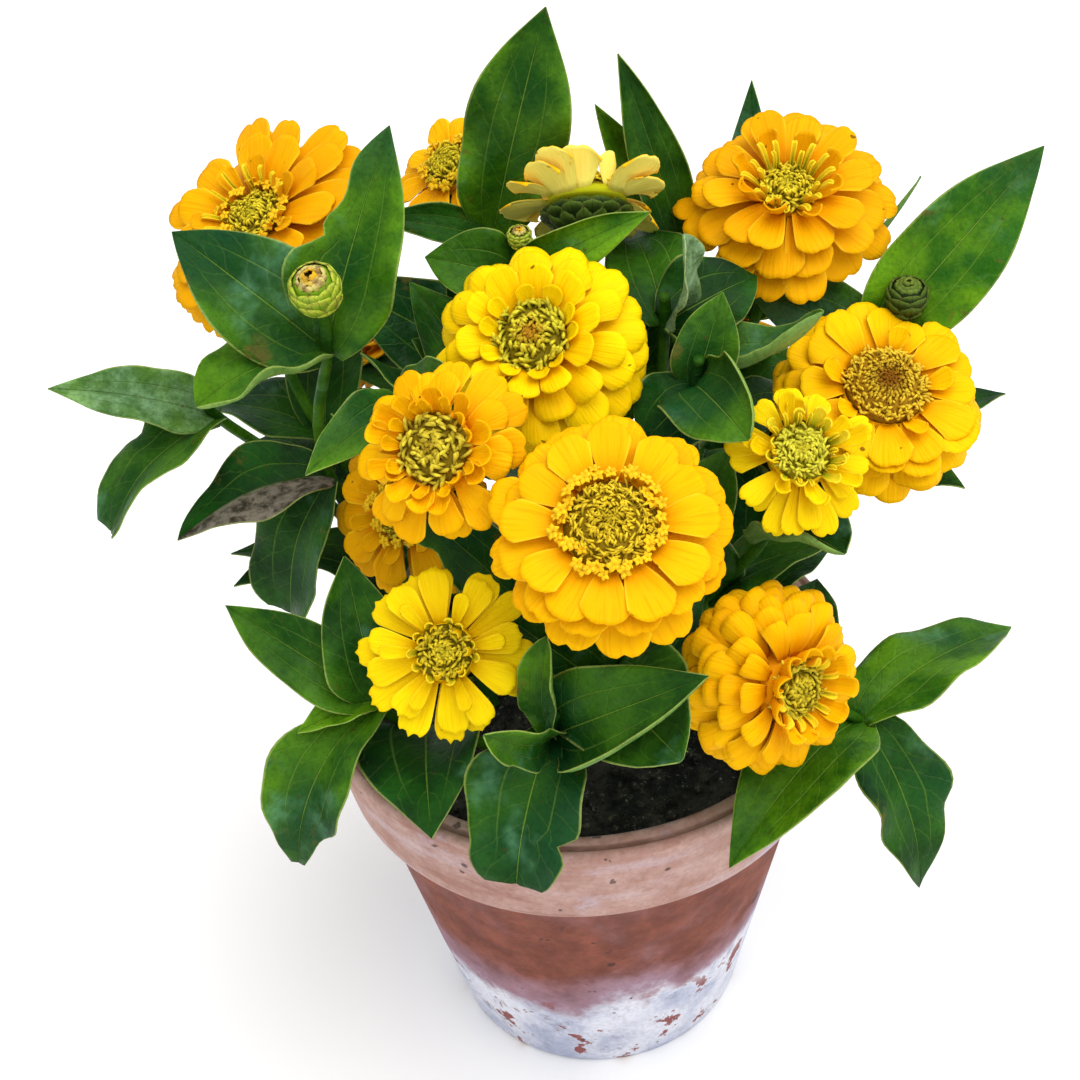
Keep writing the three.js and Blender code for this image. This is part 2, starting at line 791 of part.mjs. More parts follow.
// How petals differ: the least and most share of their length and width, and their spread in degrees.
const PETAL_LENGTHS = [0.92, 1.06];
const PETAL_WIDTHS = [0.92, 1.08];
const PETAL_SPREAD = 5;
// How far the outer windows stand from the core's ends.
const WINDOW_INSET = 0.6;
// A test petal starts this share of the way to its middle, with this share of its root's width.
const TEST_START = 0.16;
const TEST_ROOT = 0.8;

// The triangles and the rim of a petal's seven points: root, broad middle and round end, left before right.
const PETAL_FACES = [
  [0, 1, 3],
  [0, 3, 2],
  [2, 5, 4],
  [2, 3, 5],
  [3, 6, 5],
];
const PETAL_RIM = [1, 3, 6, 5, 4, 2, 0];

// A direction that rises by some degrees from a bloom's outward direction to its axis.
function heading(frame, degrees) {
  const a = degrees * DEGREE;
  return frame.out.clone().multiplyScalar(Math.cos(a)).addScaledVector(frame.axis, Math.sin(a));
}

// The middle points of a petal and their normals.
function petalPoints(frame, petal) {
  const { root, rootHalf, length, wide, tilt, bend, grow } = petal;
  const side = frame.out.clone().cross(frame.axis);
  const forward = heading(frame, tilt + bend);
  const middle = root.clone().addScaledVector(heading(frame, tilt), length * PETAL_MIDDLE);
  const end = middle.clone().addScaledVector(forward, length * (1 - PETAL_MIDDLE));
  const at = (p, across, ahead) => p.clone().addScaledVector(side, across).addScaledVector(forward, ahead);
  const middleHalf = wide * PETAL_MIDDLE_HALF + grow;
  const endHalf = wide * PETAL_END_HALF + grow;
  const corner = grow - PETAL_END_ROUND * length;
  const near = heading(frame, tilt + 90);
  const far = heading(frame, tilt + bend + 90);
  return {
    points: [
      at(root, -rootHalf, 0),
      at(root, rootHalf, 0),
      at(middle, -middleHalf, 0),
      at(middle, middleHalf, 0),
      at(end, -endHalf, corner),
      at(end, 0, grow),
      at(end, endHalf, corner),
    ],
    normals: [near, near, near, near, far, far, far],
  };
}

// A petal on its own, from a little outside its root and grown all round, to test what it meets.
function loosePetal(frame, petal, grow) {
  const { points, normals } = petalPoints(frame, { ...petal, rootHalf: petal.rootHalf * TEST_ROOT, grow });
  for (const i of [0, 1]) points[i].lerp(points[i + 2], TEST_START);
  return slab(points, normals, PETAL_FACES, PETAL_RIM, PETAL_THICK + 2 * grow);
}

// The ways a petal may be bent or shortened to stay clear: degrees and length share.
const PETAL_TURNS = [
  [0, 1],
  [5, 1],
  [-5, 1],
  [10, 1],
  [-10, 1],
  [16, 0.95],
  [-16, 0.95],
  [10, 0.8],
  [-10, 0.8],
  [26, 0.75],
  [0, 0.62],
];
const TOUCH = 0.05;

// The first bend in which a petal is clear of its bloom's other petals and of all other pieces.
function clearPetal(frame, petal, others, own) {
  for (const [lift, shrink] of PETAL_TURNS) {
    const bent = { ...petal, tilt: petal.tilt + lift, length: petal.length * shrink };
    const blade = loosePetal(frame, bent, TOUCH);
    const crossed = others.some((other) => !other.intersect(blade).isEmpty());
    if (!crossed && isClear(loosePetal(frame, bent, CLEAR), own)) {
      others.push(blade);
      keep(own, blade);
      return bent;
    }
  }
  return null;
}

// A mesh of petals while it is built: its corners, its triangles and the core's rings of windows.
class PetalMesh {
  constructor(petals) {
    this.petals = petals;
    this.corners = [];
    this.faces = [];
  }

  // The corners of a window of the core: low and high, right and left.
  window(row, k) {
    const start = row * 2 * this.petals;
    const next = (k + 1) % this.petals;
    return [start + 2 * k, start + 2 * k + 1, start + 2 * next, start + 2 * next + 1];
  }

  // The low and high corners at one side of a window.
  addWindowEdge(p, normal) {
    this.corners.push(p.clone().addScaledVector(normal, -PETAL_THICK / 2));
    this.corners.push(p.clone().addScaledVector(normal, PETAL_THICK / 2));
  }

  // Closes a window that carries no petal.
  closeWindow(row, k) {
    const [lowRight, highRight, lowLeft, highLeft] = this.window(row, k);
    this.faces.push(lowRight, lowLeft, highLeft, lowRight, highLeft, highRight);
  }

  // Grows a petal out of a window, so that the window's corners are its root.
  growPetal(row, k, frame, petal) {
    const [lowRight, highRight, lowLeft, highLeft] = this.window(row, k);
    const { points, normals } = petalPoints(frame, petal);
    const top = [highLeft, highRight];
    const under = [lowLeft, lowRight];
    for (let i = 2; i < points.length; i += 1) {
      top.push(this.corners.length);
      this.corners.push(points[i].clone().addScaledVector(normals[i], PETAL_THICK / 2));
      under.push(this.corners.length);
      this.corners.push(points[i].clone().addScaledVector(normals[i], -PETAL_THICK / 2));
    }
    for (const [i, j, m] of PETAL_FACES) {
      this.faces.push(top[i], top[j], top[m], under[i], under[m], under[j]);
    }
    for (let i = 0; i + 1 < PETAL_RIM.length; i += 1) {
      const [from, to] = [PETAL_RIM[i], PETAL_RIM[i + 1]];
      this.faces.push(under[from], under[to], top[to], under[from], top[to], top[from]);
    }
  }

  // The core's bands between its rings of windows, and its flat ends.
  closeCore(rows) {
    const last = (rows - 1) * 2 * this.petals + 1;
    for (let k = 0; k < this.petals; k += 1) {
      const next = (k + 1) % this.petals;
      for (let row = 0; row + 1 < rows; row += 1) {
        const below = row * 2 * this.petals + 1;
        const above = (row + 1) * 2 * this.petals;
        this.faces.push(below + 2 * k, below + 2 * next, above + 2 * k);
        this.faces.push(above + 2 * k, below + 2 * next, above + 2 * next);
      }
      if (k > 0 && next > 0) {
        this.faces.push(0, 2 * next, 2 * k);
        this.faces.push(last, last + 2 * k, last + 2 * next);
      }
    }
  }
}

// A bloom's petals and the short core that they grow from. Each petal grows out of a window of the core.
function makePetals(own, shoot, index) {
  const { kind, radius, disc } = shoot.bloom;
  const { petals, coreWide, coreHigh, rows } = KINDS[kind];
  const centre = vec(shoot.head);
  const axis = headAxis(shoot);
  const side = UP.clone().cross(axis).normalize();
  const other = axis.clone().cross(side);
  const outAt = (k) => {
    const turn = (k / petals) * 2 * Math.PI;
    return side.clone().multiplyScalar(Math.cos(turn)).addScaledVector(other, Math.sin(turn));
  };
  // Where the windows of each row stand on the core: the wide row at its foot, the narrow row at its top.
  const stands = rows.map((row, i) => {
    const share = i / (rows.length - 1);
    const rise = lerp(WINDOW_INSET, coreHigh - WINDOW_INSET, share);
    return { reach: lerp(disc + coreWide, disc + 1, share), middle: centre.clone().addScaledVector(axis, rise) };
  });
  const mesh = new PetalMesh(petals);
  rows.forEach(([, , elevation], row) => {
    for (let k = 0; k < petals; k += 1) {
      const frame = { out: outAt(k - 0.5 + row / 2), axis };
      const p = stands[row].middle.clone().addScaledVector(frame.out, stands[row].reach);
      mesh.addWindowEdge(p, heading(frame, elevation + 90));
    }
  });
  const others = [];
  rows.forEach(([lengthShare, widthShare, elevation, bend], row) => {
    const { reach, middle } = stands[row];
    for (let k = 0; k < petals; k += 1) {
      const frame = { out: outAt(k + row / 2), axis };
      const stagger = k % 2 === 0 ? PETAL_STAGGER : -PETAL_STAGGER;
      const petal = {
        root: middle.clone().addScaledVector(frame.out, reach * Math.cos(Math.PI / petals)),
        rootHalf: reach * Math.sin(Math.PI / petals),
        length: (radius - disc) * lengthShare * lerp(...PETAL_LENGTHS, draw(index, row + 14, k)),
        wide: radius * widthShare * lerp(...PETAL_WIDTHS, draw(index, row + 21, k)),
        tilt: elevation + stagger + PETAL_SPREAD * (draw(index, row + 7, k) - 0.5),
        bend,
        grow: 0,
      };
      const bent = clearPetal(frame, petal, others, own);
      if (bent) mesh.growPetal(row, k, frame, bent);
      else mesh.closeWindow(row, k);
    }
  });
  mesh.closeCore(rows.length);
  return solidOf(geometryFrom(mesh.corners, mesh.faces));
}

// A bloom's disc on top of its core: a low dome with the relief of its small florets.
// A ring is [share of the disc's radius, height as a share of that radius].
const DISC_RINGS = [
  [0.92, 0],
  [0.86, 0.26],
  [0.4, 0.42],
];

function makeDisc(shoot) {
  const { kind, disc } = shoot.bloom;
  const low = KINDS[kind].coreHigh + GAP;
  const rings = DISC_RINGS.map(([radius, height]) => [radius * disc, low + height * disc]);
  return turned(vec(shoot.head), headAxis(shoot), rings, DISC_SIDES, FLORET_RIDGE);
}

// Puts the plant together: pot and soil, then stems, then blooms, then leaves bent clear of all these.
const plant = new THREE.Group();
const pot = makePot();
keep("pot", pot);

let soil = makeSoil();
for (const shoot of SHOOTS) {
  const foot = stemFoot(shoot);
  const bottom = foot.clone().addScaledVector(UP, -STEM_DEPTH - GAP);
  const above = foot.clone().addScaledVector(UP, HOLE_ABOVE);
  soil = soil.subtract(tube([bottom, above], [HOLE_RADIUS, HOLE_RADIUS], HOLE_SIDES));
}
keep("soil", soil);

const labels = SHOOTS.map((shoot, i) => String(i + 1).padStart(2, "0"));
const green = SHOOTS.map((shoot, i) => {
  let solid = makeStem(shoot);
  if (shoot.bloom) solid = solid.add(makeCup(shoot));
  if (shoot.bud) solid = solid.add(makeBudBall(shoot));
  keep("leafy_stem_" + labels[i], solid);
  return solid;
});

const heads = [];
SHOOTS.forEach((shoot, i) => {
  if (shoot.bloom) {
    const disc = makeDisc(shoot);
    keep("disc_" + labels[i], disc);
    heads.push(named("disc_" + labels[i], disc, DISC));
  }
  if (shoot.bud) {
    const tip = makeBudTip(shoot);
    keep("bud_tip_" + labels[i], tip);
    heads.push(named("bud_tip_" + labels[i], tip, BUD));
  }
});

// Adds a shoot's leaves to its stem.
function addLeaves(shoot, i, leaves) {
  for (const { node, tip, wide, arch, face } of leaves) {
    const own = "leafy_stem_" + labels[i];
    const made = placeLeaf(own, vec(shoot.nodes[node]), vec(tip), wide, arch, vec(face));
    if (made) green[i] = green[i].add(made.blade);
  }
}

SHOOTS.forEach((shoot, i) => {
  addLeaves(shoot, i, shoot.leaves.slice(0, shoot.early ?? 0));
});
SHOOTS.forEach((shoot, i) => {
  if (!shoot.bloom) return;
  const own = "petals_" + labels[i];
  heads.push(named(own, makePetals(own, shoot, i), PETAL));
});
SHOOTS.forEach((shoot, i) => {
  addLeaves(shoot, i, shoot.leaves.slice(shoot.early ?? 0));
});
for (const [i, share, azimuth, length] of LOW_LEAVES) {
  const own = "leafy_stem_" + labels[i];
  const points = stemPoints(SHOOTS[i]);
  const base = points[0].clone().lerp(points[1], share);
  const a = azimuth * DEGREE;
  const reach = new THREE.Vector3(Math.cos(a), Math.sin(a), LOW_LEAF_RISE).normalize().multiplyScalar(length);
  const made = placeLeaf(own, base, base.clone().add(reach), length * LOW_LEAF_WIDE, LOW_LEAF_ARCH, UP);
  if (made) green[i] = green[i].add(made.blade);
}

plant.add(named("pot", pot, CLAY));
plant.add(named("soil", soil, SOIL));
green.forEach((solid, i) => plant.add(named("leafy_stem_" + labels[i], solid, LEAF)));
heads.forEach((mesh) => plant.add(mesh));

export default plant;
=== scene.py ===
import math
import bpy
import numpy as np
from mathutils import Matrix


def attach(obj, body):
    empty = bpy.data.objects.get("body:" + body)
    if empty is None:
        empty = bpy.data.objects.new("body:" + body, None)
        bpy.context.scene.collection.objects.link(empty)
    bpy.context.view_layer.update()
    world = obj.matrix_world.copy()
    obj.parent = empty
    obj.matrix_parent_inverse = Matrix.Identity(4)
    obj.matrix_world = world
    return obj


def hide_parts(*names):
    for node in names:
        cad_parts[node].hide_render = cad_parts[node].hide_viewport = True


# The finished looks of a potted zinnia: a weathered clay pot, crumbly soil, veined leaves, layered blooms.
# Shapes are worked out in millimetres and become metres when a piece is made.
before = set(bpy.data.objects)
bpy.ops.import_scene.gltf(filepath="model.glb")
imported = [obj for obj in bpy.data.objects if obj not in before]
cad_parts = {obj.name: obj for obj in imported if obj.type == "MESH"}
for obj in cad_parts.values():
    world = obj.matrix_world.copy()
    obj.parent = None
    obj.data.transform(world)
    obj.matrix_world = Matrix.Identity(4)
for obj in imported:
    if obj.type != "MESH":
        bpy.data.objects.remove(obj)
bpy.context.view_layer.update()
MM = 0.001
UP = np.array([0.0, 0.0, 1.0])

# The plant's plan, the same as the solids'.
POT_HEIGHT = 137
LIP_RADIUS = 80
LIP_INNER_RADIUS = 71.5
COLLAR_LOW_Z = 105.4
COLLAR_LOW_RADIUS = 74.9
WALL_TOP_RADIUS = 69.8
BASE_RADIUS = 48.5
FLOOR_THICK = 9
FLOOR_RADIUS = 40
DRAIN_RADIUS = 8
SOIL_TOP = 124
STEM_RADIUS = 1.9
STEM_DEPTH = 11
STEM_RISE = 3
STEM_TAPER = 0.8
STEM_INTO_CUP = 8
GAP = 0.35
FORWARD_UP = [0, -0.72, 0.69]


def bloom_kind(petals, core_wide, core_high, *rows):
    """A kind of bloom: petals in a row, how wide and high its core is, and rows of petals as
    [length share, width share, elevation, bend]."""
    return {"petals": petals, "core_wide": core_wide, "core_high": core_high, "rows": rows}


KINDS = {
    "daisy": bloom_kind(9, 1.6, 2.8, [1, 0.46, -6, -10], [0.84, 0.42, 16, -12]),
    "double": bloom_kind(10, 2.2, 4.4, [1, 0.46, -10, -10], [0.86, 0.42, 14, -12]),
    "dome": bloom_kind(
        10, 7, 10, [0.78, 0.5, -30, -16], [0.84, 0.5, -6, -16], [0.78, 0.44, 18, -18], [0.62, 0.34, 42, -16],
    ),
}


def bloom(kind, radius, disc, axis):
    """A bloom: its kind, its radius, its disc's radius and where it looks."""
    return {"kind": kind, "radius": radius, "disc": disc, "axis": axis}


def leaf(node, tip, wide, arch=0.12, face=(0, 0, 1)):
    """A leaf: the node of the stem that it grows from, its tip, its width, its arch and where it looks."""
    return {"node": node, "tip": tip, "wide": wide, "arch": arch, "face": face}


def front(node, tip, wide, arch=0.12):
    """A leaf that turns its face to the front."""
    return leaf(node, tip, wide, arch, FORWARD_UP)


def stem(foot, nodes, head, *leaves, **top):
    """A shoot: where it leaves the soil, where its leaves sit, its end and its leaves. Its top is a bloom,
    a bud of the given radius, or a young tip."""
    return {"foot": foot, "nodes": nodes, "head": head, "leaves": leaves, **top}


SHOOTS = [
    stem(
        [-24, 20], [[-70, 36, 200], [-81, 50, 234]], [-80.5, 58, 260],
        leaf(0, [-110, 58, 199], 24), leaf(0, [-66, 84, 214], 24), leaf(1, [-112, 80, 236], 24),
        bloom=bloom("double", 32, 9, [-0.35, -0.42, 0.84]),
    ),
    stem(
        [-10, 32], [[-24, 56, 190], [-28, 70, 226]], [-25, 77, 262],
        leaf(0, [-58, 66, 216], 26), leaf(0, [4, 84, 210], 26),
        bloom=bloom("daisy", 22, 8, [-0.45, -0.3, 0.84]),
    ),
    stem(
        [4, 26], [[4, 30, 200], [9, 33, 238]], [11, 36, 270],
        front(0, [-26, 40, 250], 26, 0.1), front(0, [34, 30, 254], 24, 0.1),
        bloom=bloom("daisy", 24, 10.5, [0.04, 0.7, 0.71]),
    ),
    stem(
        [22, 20], [[41, 30, 190], [58, 40, 226]], [67, 44, 262],
        front(1, [64, 92, 276], 20, -0.08), leaf(1, [110, 66, 254], 8, -0.15), leaf(0, [30, 74, 214], 26),
        leaf(0, [86, 52, 186], 26),
        bloom=bloom("double", 30.5, 8, [0, -0.4, 0.92]),
    ),
    stem(
        [0, 6], [[-7, 5, 185], [-6, 1, 218]], [-5, -6, 251],
        front(1, [-46, 10, 256], 26, 0.1), leaf(1, [26, -2, 236], 22),
        bloom=bloom("dome", 29.5, 9, [-0.18, -0.6, 0.78]),
    ),
    stem(
        [38, 4], [[58, 6, 160], [80, 10, 190]], [87, 0, 224],
        leaf(1, [129, 24, 204], 24), leaf(1, [111, -6, 194], 22), leaf(0, [76, 38, 166], 26),
        leaf(0, [62, 50, 172], 26),
        bloom=bloom("double", 30, 12, [0.1, -0.46, 0.88]),
    ),
    stem(
        [22, -12], [[37, -18, 171], [50, -30, 200]], [58, -38, 234],
        leaf(1, [68, -52, 212], 26, 0.15), front(0, [17, -30, 226], 24), leaf(0, [72, -16, 186], 24),
        bloom=bloom("daisy", 20, 8, [0.1, -0.62, 0.78]),
    ),
    stem(
        [-14, -10], [[-17, -24, 180], [-22, -35, 214]], [-32, -42, 247],
        leaf(0, [-62, -4, 212], 24), front(0, [-45, -50, 231], 20, 0.1),
        bloom=bloom("double", 22.5, 9.5, [-0.28, -0.7, 0.66]),
    ),
    stem(
        [-28, -4], [[-42, 2, 166], [-51, 4, 190]], [-45, -9, 204],
        leaf(1, [-86, 22, 204], 26),
        bloom=bloom("daisy", 25, 8, [-0.45, -0.72, 0.53]),
    ),
    stem(
        [8, -16], [[6, -44, 164], [7, -58, 206]], [8, -68, 238],
        leaf(0, [44, -92, 186], 37, 0.14, [-0.2, -0.5, 0.84]), front(0, [-26, -46, 202], 24),
        front(0, [34, -38, 192], 24),
        bloom=bloom("double", 29.5, 12, [-0.04, -0.52, 0.85]),
    ),
    stem(
        [-26, -26], [[-44, -44, 154], [-55, -57, 178]], [-35, -66, 202],
        front(1, [-94, -36, 198], 26, 0.08), leaf(1, [-82, -76, 138], 28, 0.16),
        front(0, [-42, -98, 169], 40, 0.14), leaf(1, [-77, -62, 182], 11),
        front(1, [-62, -32, 209], 24, 0.08),
        bloom=bloom("daisy", 21.5, 7.5, [-0.05, -0.74, 0.67]),
    ),
    stem(
        [30, -18], [[58, -36, 146], [75, -50, 150]], [47.5, -66, 184],
        leaf(1, [126, -16, 149], 28, 0.1), leaf(1, [33, -93, 149], 30, 0.14),
        leaf(1, [90, -72, 104], 28, 0.14, [0.5, -0.6, 0.6]), leaf(0, [72, 2, 158], 24),
        bloom=bloom("dome", 26.5, 7.5, [0.5, -0.8, 0.33]),
    ),
    stem(
        [-36, 2], [[-67, 9, 205], [-61, 0, 252]], [-60.5, -7, 275],
        front(1, [-98, 16, 282], 32, 0.1), front(1, [-39, 24, 303], 30, 0.1),
        leaf(1, [-86, -26, 260], 24, 0.14), leaf(0, [-110, -6, 198], 26, 0.14, [-0.3, -0.3, 0.9]),
        leaf(0, [-84, 0, 163], 30, 0.12, [-0.6, -0.6, 0.5]), front(0, [-62, 34, 238], 26, 0.1),
        bud=6.9, axis=[-0.1, -0.4, 0.9],
    ),
    stem(
        [40, 20], [[72, 20, 190], [89, 22, 227]], [97, 20, 242],
        front(1, [138, 44, 272], 30, 0.08), leaf(1, [53, 24, 240], 22, 0.1, [0, -0.5, 0.86]),
        leaf(0, [112, 54, 200], 26), leaf(0, [60, 66, 190], 26),
        bud=6, axis=[0, -0.15, 0.98],
    ),
    stem(
        [-8, 16], [[-9, 18, 215], [-10, 22, 256]], [-8, 24, 268],
        front(1, [-34, 26, 263], 22), front(1, [27, 21, 274], 16, 0.1), front(0, [-40, 22, 240], 24),
        leaf(0, [22, 22, 244], 22), front(0, [-43, 30, 260], 26),
        bud=3.2, axis=[0, -0.2, 0.98],
    ),
    stem(
        [16, 2], [[27, -2, 175], [35, -8, 236]], [36, -10, 247],
        leaf(1, [44.5, -44, 236], 26, 0.16, [-0.3, -0.6, 0.7]), front(1, [24, -28, 252], 15),
        front(1, [44, 4, 258], 18, 0.1), front(0, [14, -6, 212], 24), front(0, [48, 6, 204], 24),
        front(1, [20, -14, 224], 24),
    ),
    stem(
        [-6, -38], [[-10, -74, 178]], [-9, -79, 190],
        leaf(0, [-22, -101, 153], 32, 0.16), front(0, [28, -93, 212], 28),
        leaf(0, [-16, -92, 213], 14, 0.1, [0.5, -0.7, 0.4]),
        leaf(0, [0, -93, 212], 14, 0.1, [-0.5, -0.7, 0.4]),
    ),
    stem(
        [-36, 15], [[-74, 30, 184], [-96, 16, 223]], [-98, 14, 232],
        leaf(1, [-139, 10, 241], 24, 0.1, [0, -0.5, 0.86]),
        leaf(1, [-128, -8, 205], 26, 0.14, [-0.3, -0.3, 0.9]), leaf(0, [-96, 56, 186], 26),
    ),
    stem(
        [-20, 8], [[-36, 0, 205], [-42, -8, 238]], [-42, -11, 246],
        leaf(1, [-66, -36, 247], 22, 0.12, [-0.2, -0.6, 0.8]), front(1, [-36, -34, 256], 14),
        leaf(0, [-60, 24, 232], 24),
    ),
    stem(
        [20, 12], [[26, 12, 200], [29, 9, 246]], [29, 8, 256],
        leaf(1, [57, -24, 258], 22, -0.3, [0.1, -0.3, 0.95]),
        leaf(1, [34, 4, 276], 14, 0.1, [0.8, -0.5, 0.2]), leaf(1, [30, 56, 254], 26),
        leaf(0, [56, 44, 214], 24), front(1, [48, 32, 251], 26, 0.1),
    ),
    stem(
        [-20, 36], [[-42, 62, 160], [-50, 73, 180]], [-50, 81, 200],
        leaf(0, [-84, 92, 158], 28, 0.16), leaf(0, [-22, 96, 172], 28, 0.16),
        leaf(1, [-94, 70, 178], 26, 0.14), leaf(0, [-56, 94, 134], 28, 0.18),
        bloom=bloom("double", 25, 8.5, [-0.3, 0.62, 0.72]),
    ),
    stem(
        [20, 38], [[40, 60, 160], [48, 72, 182]], [48, 80, 202],
        leaf(0, [84, 82, 156], 28, 0.16), leaf(0, [22, 96, 150], 28, 0.16),
        leaf(1, [92, 66, 186], 26, 0.14), leaf(0, [60, 95, 128], 28, 0.18),
        bloom=bloom("double", 25, 8, [0.28, 0.66, 0.7]),
    ),
    stem(
        [0, 44], [[0, 68, 146], [-2, 80, 158]], [-2, 88, 170],
        leaf(0, [-36, 96, 142], 26, 0.16), leaf(1, [0, 100, 186], 22), leaf(0, [4, 98, 118], 28, 0.2),
        bud=6.5, axis=[0, 0.75, 0.66],
    ),
    stem(
        [14, 42], [[30, 52, 204], [38, 52, 246]], [39, 54, 255],
        front(1, [23, 66, 299], 18, 0.08), front(1, [20, 58, 290], 14, -0.06), leaf(0, [60, 78, 216], 24),
        leaf(0, [16, 84, 228], 24),
    ),
    stem(
        [-6, 44], [[-13, 50, 204], [-16, 56, 250]], [-16, 57, 258],
        front(1, [4, 66, 314], 33, 0.06), front(1, [-48, 66, 262], 14, 0.1), front(0, [-62, 46, 246], 36),
    ),
]

# Leaves low on the stems: [shoot, height share, azimuth, length].
LOW_LEAF_RISE = 0.3
LOW_LEAF_WIDE = 0.45
LOW_LEAF_ARCH = 0.16
LOW_LEAVES = [
    [0, 0.45, 150, 54],
    [3, 0.4, 60, 50],
    [5, 0.5, 45, 38],
    [5, 0.5, 70, 44],
    [9, 0.45, -60, 40],
    [12, 0.4, 175, 56],
    [12, 0.55, 95, 48],
    [13, 0.45, 20, 56],
    [17, 0.5, 200, 50],
    [20, 0.45, 190, 50],
    [21, 0.45, -10, 50],
]


def vec(values):
    return np.array(values, float)


def unit(v):
    return v / np.linalg.norm(v)


def lerp(a, b, t):
    return a + (b - a) * t


def draw(a, b, c):
    """A repeatable draw from 0 to 1 for the given whole numbers."""
    s = math.sin(a * 12.9898 + b * 78.233 + c * 37.719) * 43758.5453
    return s - math.floor(s)


def turn_about(v, axis, degrees):
    """Turns a vector about a unit axis."""
    a = math.radians(degrees)
    return v * math.cos(a) + np.cross(axis, v) * math.sin(a) + axis * (axis @ v) * (1 - math.cos(a))


SKIN_SIDES = 24


def circle(sides):
    """Equal turns round a circle, in radians."""
    return np.arange(sides) / sides * 2 * math.pi


def outward(side, other, turn):
    """The direction at a turn, in radians, from one direction towards another."""
    return side * math.cos(turn) + other * math.sin(turn)


def spokes(side, other, turns):
    """The same for an array of turns."""
    return np.multiply.outer(np.cos(turns), side) + np.multiply.outer(np.sin(turns), other)


def turned(centre, axes, profile, size=1, sides=SKIN_SIDES):
    """Rings round an axis through [radius, height] places, which are shares of a size."""
    axis, side, other = axes
    out = spokes(side, other, circle(sides))
    return np.array([centre + axis * z * size + out * r * size for r, z in profile])


def through(knots, at):
    """A smooth curve through [place, value] knots, read at the given places."""
    xs, ys = np.array(knots, float).T
    slopes = np.gradient(ys, xs)
    at = np.asarray(at, float)
    i = np.clip(np.searchsorted(xs, at, side="right") - 1, 0, len(xs) - 2)
    step = xs[i + 1] - xs[i]
    t = np.clip((at - xs[i]) / step, 0, 1)
    ends = (2 * t**3 - 3 * t**2 + 1) * ys[i] + (3 * t**2 - 2 * t**3) * ys[i + 1]
    return ends + (t**3 - 2 * t**2 + t) * step * slopes[i] + (t**3 - t**2) * step * slopes[i + 1]


PAINTS = ("along", "across", "tint", "under")


class Piece:
    """The points, faces and painted values of one piece while it is put together.

    along and across say where a point lies on its blade, tint differs from blade to blade, and under
    is 1 on the underside."""

    def __init__(self):
        self.points = []
        self.faces = []
        self.paints = []
        self.count = 0

    def add(self, points, faces, along=0.0, across=0.0, tint=0.0, under=0.0):
        points = np.asarray(points, float).reshape(-1, 3)
        paint = np.zeros((len(points), len(PAINTS)))
        for i, value in enumerate((along, across, tint, under)):
            paint[:, i] = np.asarray(value, float).reshape(-1) if np.ndim(value) else value
        self.points.append(points)
        self.paints.append(paint)
        self.faces.append(np.asarray(faces, int) + self.count)
        self.count += len(points)

    def blade(self, grid, thick, along, across, tint):
        """A closed slab round a grid of middle points. thick is one number, or one for each point."""
        rows, cols = grid.shape[:2]
        size = rows * cols
        normals = np.cross(np.gradient(grid, axis=1), np.gradient(grid, axis=0))
        normals /= np.maximum(np.linalg.norm(normals, axis=2, keepdims=True), 1e-9)
        half = np.broadcast_to(np.asarray(thick, float) / 2, (rows, cols))[..., None]
        points = np.concatenate([grid + normals * half, grid - normals * half])
        at = np.arange(size).reshape(rows, cols)
        top = np.stack([at[:-1, :-1], at[:-1, 1:], at[1:, 1:], at[1:, :-1]], -1).reshape(-1, 4)
        rim = np.concatenate([at[0, :-1], at[:-1, -1], at[-1, :0:-1], at[:0:-1, 0]])
        after = np.roll(rim, -1)
        edge = np.stack([rim, rim + size, after + size, after], -1)
        faces = np.concatenate([top, top[:, ::-1] + size, edge])
        along, across = (np.tile(np.broadcast_to(a, (rows, cols)).reshape(-1), 2) for a in (along, across))
        self.add(points, faces, along, across, tint, np.repeat([0.0, 1.0], size))

    def rings(self, rings, along=0.0, across=0.0, tint=0.0):
        """A closed skin over a stack of rings, each of the same number of points."""
        count, sides = rings.shape[:2]
        size = count * sides
        at = np.arange(size).reshape(count, sides)
        after = np.roll(at, -1, axis=1)
        faces = np.stack([at[:-1], after[:-1], after[1:], at[1:]], -1).reshape(-1, 4)
        middle = np.full(sides, size)
        first = np.stack([at[0], middle, middle, after[0]], -1)
        last = np.stack([at[-1], after[-1], middle + 1, middle + 1], -1)
        points = np.concatenate([rings.reshape(-1, 3), [rings[0].mean(axis=0), rings[-1].mean(axis=0)]])
        spread = np.broadcast_to(np.reshape(along, (-1, 1)) if np.ndim(along) else along, (count, sides))
        along = np.concatenate([spread.reshape(-1), spread[[0, -1], 0]])
        self.add(points, np.concatenate([faces, first, last]), along, across, tint)

    def make(self, name, slot, materials, stands_for=()):
        """Makes the Blender object, rides it on the root and lets it stand for its solids."""
        points = np.concatenate(self.points) * MM
        mesh = bpy.data.meshes.new(name)
        quads = np.concatenate(self.faces)
        faces = [list(dict.fromkeys(face)) for face in quads.tolist()]
        mesh.from_pydata(points.tolist(), [], faces)
        mesh.update()
        mesh.polygons.foreach_set("use_smooth", np.ones(len(mesh.polygons), bool))
        paints = np.concatenate(self.paints)
        for i, paint in enumerate(PAINTS):
            layer = mesh.attributes.new(paint, "FLOAT", "POINT")
            layer.data.foreach_set("value", paints[:, i].astype(np.float32))
        for material in materials:
            mesh.materials.append(material)
        thing = bpy.data.objects.new(name, mesh)
        bpy.context.scene.collection.objects.link(thing)
        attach(thing, "root")
        if stands_for:
            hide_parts(*stands_for)
        return thing


def cad_points(name):
    """The corners of a solid, in millimetres."""
    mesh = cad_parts[name].data
    flat = np.zeros(len(mesh.vertices) * 3)
    mesh.vertices.foreach_get("co", flat)
    return flat.reshape(-1, 3) / MM


def is_corner(point, corners, near):
    return bool((np.linalg.norm(corners - point, axis=1) < near).any())


